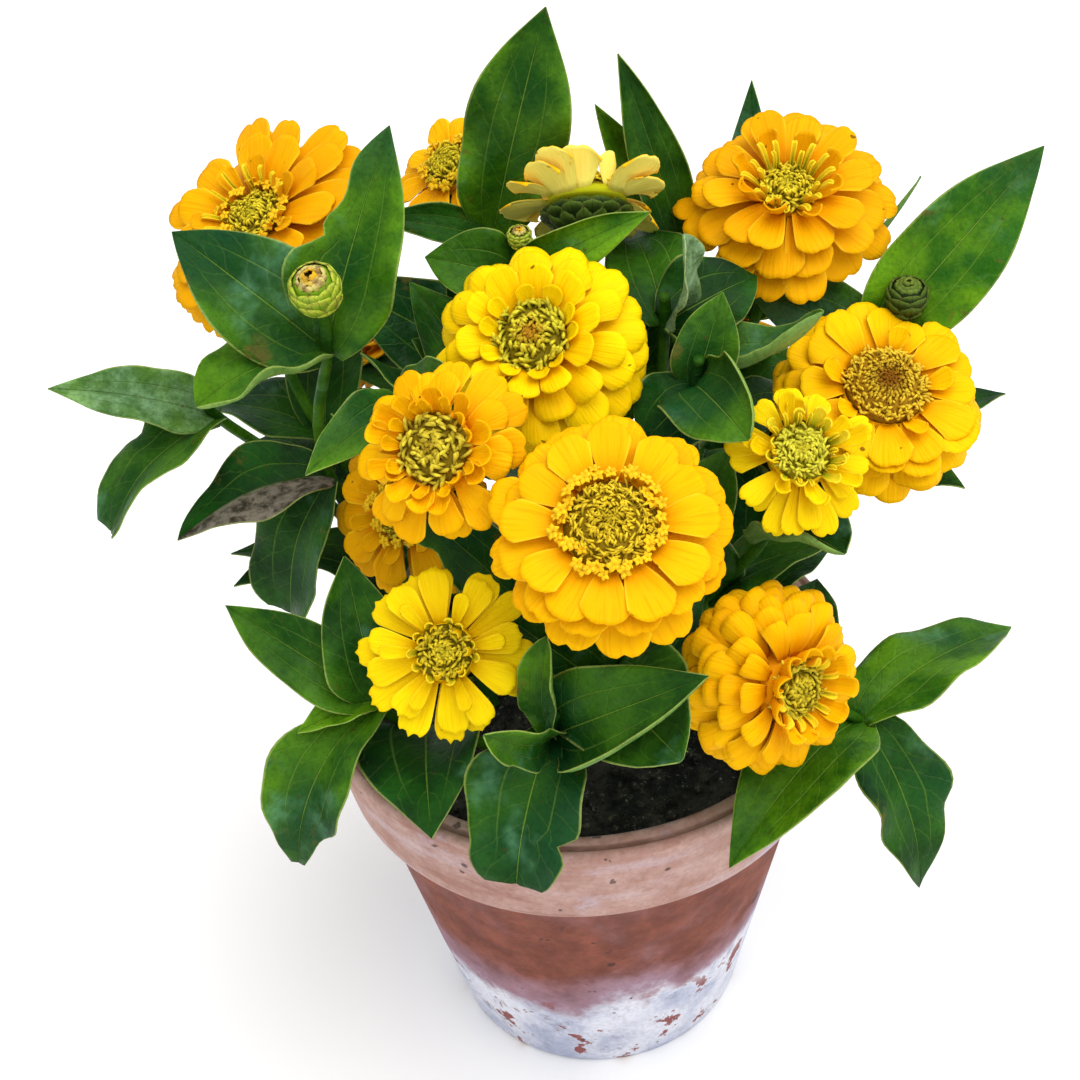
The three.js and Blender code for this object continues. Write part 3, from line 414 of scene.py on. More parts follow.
def tube_rings(path, radii, sides):
    """Rings of points round a path."""
    side = np.array([1.0, 0.0, 0.0])
    rings = []
    for i, p in enumerate(path):
        ahead = unit(path[min(i + 1, len(path) - 1)] - path[max(i - 1, 0)])
        side = unit(side - ahead * (side @ ahead))
        rings.append(p + radii[i] * spokes(side, np.cross(ahead, side), circle(sides)))
    return np.array(rings)


def smooth_path(points, steps):
    """A smooth path through points, with some steps between each two."""
    points = np.array(points)
    places = np.arange(len(points))
    at = np.linspace(0, len(points) - 1, (len(points) - 1) * steps + 1)
    return np.stack([through(np.stack([places, points[:, k]], -1), at) for k in range(3)], -1)


def head_axis(shoot):
    axis = shoot["bloom"]["axis"] if "bloom" in shoot else shoot.get("axis")
    return None if axis is None else unit(vec(axis))


def head_frame(shoot):
    """A head's axis and the two directions across it."""
    axis = head_axis(shoot)
    side = unit(np.cross(UP, axis))
    return axis, side, np.cross(axis, side)


def stem_points(shoot):
    """The points that a stem passes: straight out of the soil, through its nodes, and into its head."""
    foot = vec([*shoot["foot"], SOIL_TOP])
    end = vec(shoot["head"])
    axis = head_axis(shoot)
    if axis is not None:
        end = end - axis * (STEM_INTO_CUP if "bloom" in shoot else shoot["bud"])
    return [foot + UP * STEM_RISE, *[vec(n) for n in shoot["nodes"]], end]


STEM_STEPS = 6
STEM_SIDES = 12


def add_stem(piece, shoot):
    foot = vec([*shoot["foot"], SOIL_TOP])
    path = smooth_path([foot - UP * STEM_DEPTH, foot + UP, *stem_points(shoot)], STEM_STEPS)
    share = np.linspace(0, 1, len(path))
    rings = tube_rings(path, STEM_RADIUS * lerp(1, STEM_TAPER, share), STEM_SIDES)
    piece.rings(rings, along=share, across=0.3, tint=0.5)


# Leaves: half width along the blade, from the clasping root to the tip.
POINTED = [
    [0, 0.34], [0.1, 0.66], [0.28, 0.97], [0.45, 0.99], [0.62, 0.86],
    [0.78, 0.6], [0.9, 0.3], [0.97, 0.1], [1, 0.01],
]
ROUNDED = [
    [0, 0.34], [0.12, 0.62], [0.35, 0.92], [0.55, 1], [0.75, 0.9],
    [0.88, 0.66], [0.96, 0.36], [1, 0.06],
]
BLUNT = [
    [0, 0.34], [0.12, 0.64], [0.35, 0.96], [0.6, 1], [0.8, 0.88],
    [0.93, 0.7], [0.98, 0.58], [1, 0.5],
]
SPOON = [
    [0, 0.34], [0.15, 0.6], [0.38, 0.92], [0.55, 1], [0.7, 0.86],
    [0.82, 0.5], [0.92, 0.34], [1, 0.16],
]
NARROW = [[u, 0.76 * w] for u, w in POINTED]
TALL = [
    [0, 0.34], [0.1, 0.5], [0.22, 0.7], [0.4, 0.86], [0.58, 0.93],
    [0.72, 0.8], [0.84, 0.52], [0.94, 0.21], [1, 0.01],
]
LEAF_ROWS = 26
LEAF_COLUMNS = 15
LEAF_FINE_THICK = 0.6
FOLD = 12.4
VEIN_PLACE = 0.46

# The ways a leaf may have been turned to stay clear of its neighbours, the smallest turn first.
TURNS = sorted(
    (
        (abs(lift) + abs(swing) + (1 - shrink) * 120, shrink, lift, swing)
        for shrink in (1, 0.86, 0.72)
        for lift in (0, 6, -6, 12, -12, 20, -20, 30)
        for swing in (0, 7, -7, 14, -14, 24, -24)
    ),
    key=lambda turn: turn[0],
)


def turn_vector(v, lift, swing):
    swung = turn_about(v, UP, swing)
    level = np.array([swung[0], swung[1], 0.0])
    if np.linalg.norm(level) < 1e-6:
        level = np.array([0.0, -1.0, 0.0])
    hinge = np.cross(unit(level), UP)
    return turn_about(swung, hinge, lift)


TIP_NEAR = 0.6


def placed_leaf(base, plan, corners):
    """The turned leaf whose tip is a corner of its solid, or None if the leaf was left out."""
    reach = plan["tip"] - base
    for _, shrink, lift, swing in TURNS:
        tip = base + turn_vector(reach, lift, swing) * shrink
        if is_corner(tip, corners, TIP_NEAR):
            return {
                "base": base,
                "tip": tip,
                "wide": plan["wide"] * (0.4 + 0.6 * shrink),
                "arch": plan["arch"],
                "face": turn_vector(vec(plan["face"]), lift, swing),
            }
    return None


def leaf_ways(left=0, right=0, tint=None, shape=POINTED, twist=0, droop=0, dents=()):
    """How a leaf differs: how far its left and right edges roll in degrees, its tint, its outline, the twist
    and droop of its end, and dents as [side, place, size, depth]."""
    ways = {"roll": (left, right), "tint": tint, "shape": shape}
    return {**ways, "twist": twist, "droop": droop, "dents": dents}


# A steeper roll than this, in degrees, stays near a leaf's edge.
STEEP_ROLL = 70
LEAF_RIBS = 6


def bent_side(half, v, roll):
    """Across and above for a half blade that folds up and rolls over towards its edge. roll is in degrees."""
    fine = np.linspace(0, 1, 25)
    angle = np.radians(FOLD + roll * fine ** (3.4 if abs(roll) > STEEP_ROLL else 1.6))
    sides = []
    for part in (np.cos(angle), np.sin(angle)):
        sums = np.concatenate([[0], np.cumsum((part[1:] + part[:-1]) / 2 * np.diff(fine))])
        sides.append(np.outer(half, np.interp(v, fine, sums)))
    return sides


def leaf_curve(placed, ways, u):
    """A leaf's middle line, and the directions to its right and above it at each point."""
    base, tip = placed["base"], placed["tip"]
    length = np.linalg.norm(tip - base)
    along = (tip - base) / length
    above = unit(placed["face"] - along * (placed["face"] @ along))
    bend = lerp(base, tip, 0.42) + above * 2 * placed["arch"] * length
    p = np.outer((1 - u) ** 2, base) + np.outer(2 * u * (1 - u), bend) + np.outer(u**2, tip)
    forward = np.outer(2 * (1 - u), bend - base) + np.outer(2 * u, tip - bend)
    forward /= np.linalg.norm(forward, axis=1, keepdims=True)
    right = np.cross(forward, above)
    right /= np.linalg.norm(right, axis=1, keepdims=True)
    normal = np.cross(right, forward)
    late = np.clip((u - 0.25) / 0.6, 0, 1)
    twist = np.radians(ways["twist"] * late**2 * (3 - 2 * late))[:, None]
    cos, sin = np.cos(twist), np.sin(twist)
    right, normal = right * cos + normal * sin, normal * cos - right * sin
    return p - normal * (ways["droop"] * np.clip(u - 0.55, 0, 1) ** 2 * length)[:, None], right, normal


def leaf_halves(half, ways, seed, u, v):
    """How far across and how high the points of both halves lie: folded, rolled, dented and wavy."""
    across, rise = np.zeros((2, LEAF_ROWS, LEAF_COLUMNS))
    for way, roll in zip((-1, 1), ways["roll"]):
        edge = 1 + 0.045 * np.sin(u * 11 + seed * 1.7 + way) * u
        for side, place, size, depth in ways["dents"]:
            if side == way:
                edge = edge - depth * np.exp(-(((u - place) / size) ** 2))
        mine = v * way > 0
        out, high = bent_side(half * edge, np.abs(v[mine]), roll + 22 * (draw(seed, 7, way + 3) - 0.4))
        across[:, mine], rise[:, mine] = way * out, high
        wave = np.sin(2 * math.pi * (lerp(1.6, 2.8, draw(seed, 6, 1)) * u + draw(seed, 3, way + 3)))
        rise[:, mine] += np.outer(wave * half * lerp(0.07, 0.17, draw(seed, 6, 2)), np.abs(v[mine]) ** 2.2)
    return across, rise


def add_relief(rise, half, seed, u, v):
    """Sinks the veins, raises the blade between them and buckles it a little."""
    side = np.abs(v)
    small = np.minimum(half / 6, 1)
    sunk = np.exp(-((side / 0.09) ** 2)) + 0.5 * np.exp(-(((side - VEIN_PLACE) / 0.1) ** 2))
    ribs = np.sin(2 * math.pi * (np.outer(u * LEAF_RIBS, np.ones_like(v)) - 1.1 * side) + seed)
    rise += np.outer(small, -0.3 * sunk) + 0.13 * ribs * small[:, None] * (1 - sunk)
    buckle = np.sin(2 * math.pi * (1.3 * u[:, None] + 0.4 * v * (1 if seed % 2 else -1)) + 1.3 * seed)
    rise += 0.07 * half[:, None] * buckle * (0.3 + side)


def add_leaf(piece, placed, ways, seed, tint):
    """One leaf: a folded blade with sunk veins, wavy edges and a pointed tip."""
    u = np.linspace(0.0, 1.0, LEAF_ROWS)
    u = u + 0.05 * np.sin(math.pi * u)
    v = np.linspace(-1.0, 1.0, LEAF_COLUMNS)
    p, right, normal = leaf_curve(placed, ways, u)
    half = placed["wide"] / 2 * through(ways["shape"], u)
    across, rise = leaf_halves(half, ways, seed, u, v)
    add_relief(rise, half, seed, u, v)
    grid = p[:, None] + right[:, None] * across[..., None] + normal[:, None] * rise[..., None]
    thick = LEAF_FINE_THICK * (1 - 0.5 * np.abs(v) ** 4)
    piece.blade(grid, thick, u[:, None], v[None, :], tint)


# The green cup under a bloom, as [share of its radius, height], and a bud's ball as shares of its radius.
CUP_PROFILE = [[0.34, -8.6], [0.62, -7.6], [0.95, -4.4], [1.02, -2.6], [0.86, -1.0]]
BUD_PROFILE = [[0.24, -1.1], [0.7, -0.9], [0.97, -0.3], [1.0, 0.2], [0.9, 0.5], [0.74, 0.7]]
SKIN_ROWS = 12
SKIN_INSET = 0.35
SCALE_GRID = 7
SCALE_THICK = 0.4
CUP_SCALES = (3, 13)
BUD_SCALES = (4, 6)
# A bud of this size is still closed and green.
CLOSED_BUD = 6
SCALE_DARK = -1.0
SCALE_BRIGHT = -0.5


def profile_at(profile, share):
    """Radius and height at a share of a profile."""
    places = np.linspace(0, 1, len(profile))
    return [through(np.stack([places, values], -1), share) for values in np.array(profile, float).T]


def add_scaly_ball(piece, shoot, profile, wide, high, rows, per_row, seed, bright):
    """A rounded green body covered by rows of overlapping scales with dark rims."""
    axis, side, other = head_frame(shoot)
    centre = vec(shoot["head"])

    def on_skin(share, turn, lift):
        radius, height = profile_at(profile, share)
        out = spokes(side, other, turn)
        return centre + axis * (height * high)[..., None] + out * (radius * wide + lift)[..., None]

    turns, shares = np.meshgrid(circle(SKIN_SIDES), np.linspace(0, 1, SKIN_ROWS))
    piece.rings(on_skin(shares, turns, -SKIN_INSET), along=0.2, across=0.3, tint=bright)
    u = np.linspace(0, 1, SCALE_GRID)
    v = np.linspace(-1, 1, SCALE_GRID)
    span = 1.5 / rows
    for row in range(rows):
        start = lerp(0.02, 1 - span, row / (rows - 1))
        for k in range(per_row):
            middle = (k + row / 2 + 0.2 * (draw(seed, row, k) - 0.5)) / per_row * 2 * math.pi
            breadth = math.pi / per_row * 1.3 * np.sqrt(np.clip(1 - u**3.2, 0.002, 1))
            share = np.minimum(start + span * np.outer(u, 1 - 0.1 * v**2), 1)
            turn = middle + np.outer(breadth, v)
            lift = 0.1 + (0.35 + 0.4 * draw(seed, row, k + 50)) * np.outer(u**1.5, 1 - 0.7 * v**2)
            shade = bright + 0.3 * (draw(seed, k, row) - 0.5)
            piece.blade(on_skin(share, turn, lift)[:, ::-1], SCALE_THICK, u[:, None], v[None, :], shade)


PETAL_MIDDLE = 0.56
PETAL_STAGGER = 3.5
PETAL_LENGTHS = (0.92, 1.06)
PETAL_SPREAD = 5
PETAL_ROOT_DEEP = 1.5
WINDOW_INSET = 0.6
PETAL_TURNS = [
    [0, 1], [5, 1], [-5, 1], [10, 1], [-10, 1], [16, 0.95],
    [-16, 0.95], [10, 0.8], [-10, 0.8], [26, 0.75], [0, 0.62],
]


def heading(out, axis, degrees):
    """A direction that rises by some degrees from an outward direction to the axis."""
    a = math.radians(degrees)
    return out * math.cos(a) + axis * math.sin(a)


def row_at(kind, place):
    """A row of petals at a place between the solid's rows: length, width, elevation, bend, stand share."""
    rows = np.array(kind["rows"], float)
    places = np.arange(len(rows))
    values = [float(np.interp(place, places, rows[:, k])) for k in range(4)]
    return [*values, place / (len(rows) - 1)]


def petal_turns(shoot, index, corners):
    """How each petal of the solid was bent and shortened, row by row. A petal left out is short."""
    plan = shoot["bloom"]
    kind = KINDS[plan["kind"]]
    radius, disc, petals = plan["radius"], plan["disc"], kind["petals"]
    axis, side, other = head_frame(shoot)
    table = []
    for row, (length_share, _, elevation, bend) in enumerate(kind["rows"]):
        share = row / (len(kind["rows"]) - 1)
        rise = lerp(WINDOW_INSET, kind["core_high"] - WINDOW_INSET, share)
        reach = lerp(disc + kind["core_wide"], disc + 1, share)
        line = []
        for k in range(petals):
            turn = (k + row / 2) / petals * 2 * math.pi
            out = outward(side, other, turn)
            root = vec(shoot["head"]) + axis * rise + out * reach * math.cos(math.pi / petals)
            length = (radius - disc) * length_share * lerp(*PETAL_LENGTHS, draw(index, row + 14, k))
            stagger = PETAL_STAGGER if k % 2 == 0 else -PETAL_STAGGER
            tilt = elevation + stagger + PETAL_SPREAD * (draw(index, row + 7, k) - 0.5)
            found = None
            for lift, shrink in PETAL_TURNS:
                middle = root + heading(out, axis, tilt + lift) * length * shrink * PETAL_MIDDLE
                end = middle + heading(out, axis, tilt + lift + bend) * length * shrink * (1 - PETAL_MIDDLE)
                if is_corner(end, corners, TIP_NEAR):
                    found = (lift, shrink)
                    break
            line.append(found or (0, 0.4))
        table.append(line)
    return table


def turn_at(table, place, turn):
    """The bend and length share at a place between rows and at a turn from 0 to 1 round the bloom."""
    low = min(int(place), len(table) - 2)
    mixed = np.zeros(2)
    for row, weight in ((low, 1 - (place - low)), (low + 1, place - low)):
        line = np.array(table[row], float)
        at = turn * len(line) - row / 2
        first = math.floor(at)
        near, far = line[first % len(line)], line[(first + 1) % len(line)]
        mixed += weight * lerp(near, far, at - first)
    return mixed


PETAL_ROWS = 9
PETAL_COLUMNS = 13
YOUNG_COLUMNS = 7
# Half width along a petal, from its narrow root to its broad round end.
PETAL_SHAPE = [[0, 0.36], [0.2, 0.58], [0.5, 0.86], [0.72, 0.98], [0.88, 1.0], [1, 0.95]]


def petal_way(cup=0.3, rim=-0.14, tip=0.0, notches=(0.0,), depth=0.03, tube=0.0):
    """How a petal is formed: how far its root is cupped, its rim raised and its tip lifted, its notches,
    and how far it is rolled into a tube. All are shares of its size."""
    return {"cup": cup, "rim": rim, "tip": tip, "notches": notches, "depth": depth, "tube": tube}


FLAT = petal_way()
LOBED = petal_way(depth=0.06)
THREE_LOBED = petal_way(notches=(-0.36, 0.36), depth=0.08)
SCOOP = petal_way(cup=0.42, rim=0.26, tip=0.08, depth=0.0)
HOODED = petal_way(cup=0.5, rim=0.5, tip=0.3, depth=0.0)
DOMED = petal_way(cup=0.2, rim=-0.42, tip=-0.14, depth=0.02)
PUFFED = petal_way(cup=0.2, rim=-0.6, tip=-0.18, depth=0.0)
TUBE = petal_way(cup=0.6, rim=0.4, depth=0.05, tube=1.0)


def rings(way, *rows, young=False):
    """Rings of petals of one form. A row is a place between the solid's rows, from 0 for the lowest, a
    count, shares of the solid's length and width, and a rise in degrees where there is one."""
    made = []
    for place, count, long, broad, *rise in rows:
        ring = {"place": place, "count": count, "long": long, "broad": broad, "rise": sum(rise)}
        made.append({**ring, "way": way, "young": young})
    return made


def add_petal(piece, plan, way, seed, tint):
    """One petal: cupped at its root, broad and rounded at its end, which may be notched."""
    out, axis, root = plan["out"], plan["axis"], plan["root"]
    length, wide, tilt, bend = plan["length"], plan["wide"], plan["tilt"], plan["bend"]
    u = np.linspace(0, 1, PETAL_ROWS)
    u = u + 0.08 * np.sin(math.pi * u)
    v = np.sin(np.linspace(-0.5, 0.5, YOUNG_COLUMNS if way["tube"] else PETAL_COLUMNS) * math.pi)
    side = unit(np.cross(out, axis) + out * 0.22 * (draw(seed, 9, 3) - 0.5))
    ahead = np.array([heading(out, axis, tilt + bend * 1.6 * max(s - 0.2, 0)) for s in u])
    steps = (ahead[1:] + ahead[:-1]) / 2 * length * np.diff(u)[:, None]
    rib = np.concatenate([[np.zeros(3)], np.cumsum(steps, axis=0)]) + root
    normal = np.cross(side, ahead)
    half = wide / 2 * through(PETAL_SHAPE, u)
    end = 0.85 * wide / 2 / length * (1 - np.sqrt(1 - 0.99 * v**2))
    for place in way["notches"]:
        end = end + way["depth"] * lerp(0.5, 1.4, draw(seed, 5, 5)) * np.exp(-(((v - place) / 0.2) ** 2))
    back = np.outer(np.clip((u - 0.4) / 0.6, 0, 1) ** 2, end) * length
    across = np.outer(half, v * (1 - 0.45 * way["tube"] * np.abs(v)))
    rise = np.outer(half, v**2) * (way["cup"] * (1 - u) + way["rim"] * u + way["tube"] * 0.8)[:, None]
    rise = rise + (way["tip"] * length * u**3)[:, None]
    pleat = 0.016 * wide * np.outer(np.sin(math.pi * np.clip(u * 0.95, 0, 1)), np.cos(v * 2.6 * math.pi) - 1)
    wave = 0.06 * wide * np.outer(u**2, v**2 * np.sin(3 * v + 6 * draw(seed, 8, 1)))
    twist = math.radians(26 * (draw(seed, 9, 2) - 0.5)) * u[:, None] * across
    rise = rise + pleat + wave + twist
    grid = rib[:, None] + side * across[..., None] - ahead[:, None] * back[..., None]
    grid = grid + normal[:, None] * rise[..., None]
    thick = np.minimum(0.5, 0.16 * wide) * (1 - 0.4 * v**4)
    piece.blade(grid, thick, u[:, None], v[None, :], tint)


YOUNG = -0.6


def add_ring(piece, shoot, look, table, index, r):
    """One ring of petals, which bend with the solid's petals."""
    plan, petals = shoot["bloom"], look["rings"][r]
    kind = KINDS[plan["kind"]]
    radius, disc = plan["radius"], plan["disc"]
    axis, side, other = head_frame(shoot)
    length_share, width_share, elevation, bend, share = row_at(kind, petals["place"])
    rise = lerp(WINDOW_INSET, kind["core_high"] - WINDOW_INSET, share)
    reach = lerp(disc + kind["core_wide"], disc + 1, share) - PETAL_ROOT_DEEP
    for k in range(petals["count"]):
        seed = index * 100 + r * 20 + k
        turn = (k + r * 0.5 + look["loose"] * 0.5 * (draw(seed, 1, 1) - 0.5)) / petals["count"]
        lift, shrink = turn_at(table, petals["place"], turn)
        shrink = lerp(shrink, 1, 0.6)
        around = turn * 2 * math.pi
        lift += look["raised"] * max(math.sin(around), 0)
        lift -= look["drooped"] * max(-math.sin(around), 0) * max(1 - petals["place"], 0)
        out = outward(side, other, around)
        spread = look["loose"] * 12 * (draw(seed, 4, 1) - 0.5)
        uneven = lerp(1 - 0.14 * look["loose"], 1.04, draw(seed, 2, 1))
        petal = {
            "out": out,
            "axis": axis,
            "root": vec(shoot["head"]) + axis * rise + out * reach,
            "length": (radius - disc) * length_share * shrink * uneven * petals["long"] + PETAL_ROOT_DEEP,
            "wide": radius * width_share * lerp(0.84, 1.06, draw(seed, 3, 1)) * petals["broad"],
            "tilt": elevation + lift + petals["rise"] + spread + (2 if k % 2 == 0 else -2),
            "bend": bend,
        }
        tint = YOUNG + 0.3 * draw(seed, 6, 1) if petals["young"] else draw(seed, 6, 1)
        add_petal(piece, petal, petals["way"], seed, tint)


def petals_piece(shoot, index, look):
    """All petals of a bloom, in finer rings than the solid's rows, and the core that they grow from."""
    label = f"{index + 1:02d}"
    name = "petals_" + label
    table = petal_turns(shoot, index, cad_points(name))
    piece = Piece()
    for r in range(len(look["rings"])):
        add_ring(piece, shoot, look, table, index, r)
    add_core(piece, shoot, look)
    return piece.make(name + "_fine", look["slot"], [petal_material(label, look)], [name])


def add_core(piece, shoot, look):
    """The short core that the petals grow from."""
    plan = shoot["bloom"]
    kind = KINDS[plan["kind"]]
    low, high = plan["disc"] + kind["core_wide"] - 1, plan["disc"] - 0.5
    profile = [[0.4 * low, -0.6], [low, 0], [high, kind["core_high"] - 0.3], [0.3 * high, kind["core_high"]]]
    rings = turned(vec(shoot["head"]), head_frame(shoot), profile)
    piece.rings(rings, along=0.05, tint=look["core"])


CURL_SIDES = 4
CURL_STEPS = 6
STAR_LOBES = 5
STAR_TUBE = [[0.35, 0], [0.35, 1], [0.5, 1.5], [0.2, 1.3]]
STAR_HALF = 0.46 * np.array([0.7, 1, 0.8, 0.15])
GOLDEN_TURN = math.pi * (3 - math.sqrt(5))


def add_curl(piece, base, up, lean, long, thick, curl, tint):
    """A thin curling floret: a tapered tube along an arc that starts upwards and leans over."""
    share = np.linspace(0, 1, CURL_STEPS)
    angle = np.radians(curl) * share
    step = long / (CURL_STEPS - 1)
    path = [base]
    for a in angle[1:]:
        path.append(path[-1] + (up * math.cos(a) + lean * math.sin(a)) * step)
    radii = thick * through([[0, 0.8], [0.5, 0.85], [0.85, 1], [1, 0.55]], share)
    piece.rings(tube_rings(path, radii, CURL_SIDES), along=share, tint=tint)


def add_star(piece, base, axis, size, seed):
    """An open floret: a short tube that ends in a star of five lobes."""
    side = unit(np.cross(axis, [0.3, 0.5, 0.8]))
    other = np.cross(axis, side)
    rings = turned(base, (axis, side, other), STAR_TUBE, size, STAR_LOBES)
    piece.rings(rings, along=[0, 0.4, 0.6, 0.2], tint=1.5)
    top = base + axis * size * 1.4
    u = np.linspace(0, 1, 4)
    for k in range(STAR_LOBES):
        way = outward(side, other, (k + 0.4 * draw(seed, 2, k)) / STAR_LOBES * 2 * math.pi)
        rib = top + np.outer(u, way) * size * 1.25 + np.outer(np.sin(u * 2.4), axis) * size * 0.35
        half = (size * STAR_HALF[:, None] * np.cross(axis, way))[:, None]
        grid = rib[:, None] + np.array([1.0, 0.0, -1.0])[None, :, None] * half
        piece.blade(grid, size * 0.18, 0.6 + 0.4 * u[:, None], np.zeros((1, 3)), 1.5 + 0.4 * draw(seed, 3, k))


def add_florets(piece, axes, low, wide, high, index, look):
    """Curling florets that stand in a spiral on a low dome. The inner ones lean in."""
    axis, side, other = axes
    count = look["florets"]
    long, thick, curl = look["curl"]
    for i in range(count):
        share = math.sqrt((i + 0.5) / count)
        seed = 9000 + index * 300 + i
        out = outward(side, other, i * GOLDEN_TURN)
        up = unit(axis + out * 0.7 * share)
        sway = np.cross(axis, out) * 1.6 * (draw(seed, 4, 1) - 0.5)
        lean = unit((-out if share < 0.7 else out * (draw(seed, 8, 1) - 0.4)) + sway)
        lean = unit(lean - up * (lean @ up))
        rise = high * (1 - 0.85 * share**2.2) - 0.4
        base = low + out * share * wide + axis * rise
        reach = long * lerp(0.7, 1.2, draw(seed, 6, 1)) * lerp(look["middle"], 1, share)
        add_curl(piece, base, up, lean, reach, thick, curl * lerp(0.6, 1.15, draw(seed, 7, 1)), share)


def add_stars(piece, axes, low, disc, index, look):
    """Open florets like stars round the others."""
    axis, side, other = axes
    for k in range(look["stars"]):
        seed = 4000 + index * 60 + k
        out = outward(side, other, (k + 1.4 * draw(seed, 1, 1)) / look["stars"] * 2 * math.pi)
        share = lerp(0.78, 1.12, draw(seed, 2, 1) ** 0.7)
        base = low + out * share * disc + axis * lerp(0.4, 1.6, draw(seed, 4, 1))
        way = unit(axis + out * lerp(-0.1, 0.8, draw(seed, 3, 1)))
        add_star(piece, base, way, look["star_size"] * lerp(0.75, 1.1, draw(seed, 5, 1)), seed)


def disc_piece(shoot, index, look):
    """The disc: a low dome that florets stand on."""
    disc = shoot["bloom"]["disc"]
    axes = head_frame(shoot)
    label = f"{index + 1:02d}"
    name = "disc_" + label
    wide = disc * look["disc_wide"]
    high = wide * 0.36 * look["disc_high"]
    low = vec(shoot["head"]) + axes[0] * (KINDS[shoot["bloom"]["kind"]]["core_high"] - 0.2)
    dome = [
        [disc * 0.95, 0], [wide, 0.25 * high], [0.72 * wide, 0.75 * high],
        [0.38 * wide, 0.95 * high], [0.04 * wide, high],
    ]
    piece = Piece()
    piece.rings(turned(low, axes, dome), along=0.3, tint=0.3)
    add_florets(piece, axes, low, wide, high, index, look)
    add_stars(piece, axes, low, disc, index, look)
    return piece.make(name + "_fine", "disc", [disc_material(label, look)], [name])


# A bud's tip: the body under its petals as shares of its size, and rings of petals as [count, reach, tilt,
# length].
BUD_CORE_PROFILE = [[0.6, 0.45], [0.62, 0.64], [0.42, 0.8], [0.16, 0.78]]
BUD_RINGS = [[11, 0.62, 122, 0.34], [9, 0.46, 138, 0.3], [6, 0.28, 120, 0.22]]


def bud_tip_piece(shoot, index):
    """A bud's tip: thick small petals that lean in. An open bud has a dark hollow between them."""
    axis, side, other = axes = head_frame(shoot)
    size = shoot["bud"]
    closed = size == CLOSED_BUD
    label = f"{index + 1:02d}"
    centre = vec(shoot["head"])
    piece = Piece()
    rings = turned(centre, axes, BUD_CORE_PROFILE, size)
    # An open bud's core gets an along of -1, which the bud material paints dark brown as the shade in its
    # hollow.
    piece.rings(rings, along=0.2 if closed else -1.0, tint=2.0 if closed else 0.0)
    for row, (count, reach, tilt, length) in enumerate(BUD_RINGS):
        for k in range(count):
            seed = 800 + index * 20 + row * 7 + k
            way = outward(side, other, (k + 0.4 * draw(seed, 3, 4)) / count * 2 * math.pi)
            petal = {
                "out": way,
                "axis": axis,
                "root": centre + axis * size * (0.6 + 0.12 * row) + way * size * reach,
                "length": size * length * lerp(0.8, 1.15, draw(seed, 6, 4)),
                "wide": size * (0.42 - 0.07 * row),
                "tilt": tilt + 18 * (draw(seed, 1, 4) - 0.5),
                "bend": 60 if closed else 26,
            }
            add_petal(piece, petal, SCOOP, seed, 2.0 if closed else 0.5 * row)
    name = "bud_tip_" + label
    return piece.make(name + "_fine", "bud_tip", [bud_material()], [name])


# How single leaves differ, by shoot and leaf, both counted from 0.
WAYS = {
    (3, 0): leaf_ways(0, 30, 0.35),
    (3, 1): leaf_ways(120, 60, 0.6, twist=70),
    (6, 0): leaf_ways(30, 110, 0.1, ROUNDED),
    (7, 1): leaf_ways(0, 0, 0.3, BLUNT, dents=[[-1, 0.8, 0.07, 0.4], [-1, 0.55, 0.05, 0.25]]),
    (9, 0): leaf_ways(-16, -10, 0.3, ROUNDED),
    (10, 0): leaf_ways(20, -10, 0.4, NARROW, dents=[[1, 0.3, 0.05, 0.2]]),
    (10, 1): leaf_ways(10, 40, 0.5, SPOON, twist=30, droop=0.2),
    (10, 2): leaf_ways(24, 0, 0.05),
    (10, 3): leaf_ways(50, 20, 1.0),
    (10, 4): leaf_ways(20, 10, 0.3),
    (11, 0): leaf_ways(-10, 16, 0.65),
    (11, 1): leaf_ways(20, 10, 0.55),
    (11, 2): leaf_ways(20, -10, 0.2, dents=[[-1, 0.6, 0.06, 0.1]]),
    (12, 0): leaf_ways(18, -10, 0.42),
    (12, 1): leaf_ways(20, -8, 0.6, dents=[[-1, 0.52, 0.05, 0.36], [-1, 0.7, 0.14, 0.5]]),
    (12, 2): leaf_ways(120, 0, 0.7, ROUNDED),
    (12, 3): leaf_ways(10, 24, 3.05),
    (12, 4): leaf_ways(14, 0, 0.16, BLUNT),
    (13, 0): leaf_ways(10, -14, 1.0),
    (13, 1): leaf_ways(0, 20, 0.35),
    (14, 1): leaf_ways(110, 0, 0.9),
    (14, 4): leaf_ways(10, 10, 0.1),
    (15, 0): leaf_ways(110, 10, 0.6, ROUNDED),
    (15, 1): leaf_ways(50, 50, 0.9, ROUNDED),
    (15, 5): leaf_ways(10, 10, 0.1),
    (16, 0): leaf_ways(8, 8, 0.24, BLUNT, dents=[[-1, 0.72, 0.045, 0.3], [1, 0.8, 0.05, 0.06]]),
    (16, 1): leaf_ways(0, 130, 0.35),
    (16, 2): leaf_ways(70, 30, 0.6, ROUNDED),
    (16, 3): leaf_ways(30, 70, 0.6, ROUNDED),
    (17, 0): leaf_ways(0, 24, 1.5, NARROW),
    (17, 1): leaf_ways(20, 10, 0.45, BLUNT, twist=-12, droop=0.12, dents=[[1, 0.45, 0.09, 0.25]]),
    (18, 0): leaf_ways(30, 10, 0.75, NARROW),
    (18, 1): leaf_ways(60, 20, 1.0, ROUNDED),
    (19, 0): leaf_ways(30, 90, 1.25, ROUNDED, twist=20),
    (19, 1): leaf_ways(40, 10, 2.0, ROUNDED),
    (19, 4): leaf_ways(10, 10, 0.1),
    (23, 0): leaf_ways(30, 60, 0.3),
    (23, 1): leaf_ways(10, 10, 0.6),
    (24, 0): leaf_ways(12, -12, 0.55, TALL),
    (24, 1): leaf_ways(40, 40, 0.2),
    (24, 2): leaf_ways(10, 10, 0.05),
}


YOUNG_LEAF_WIDE = 16


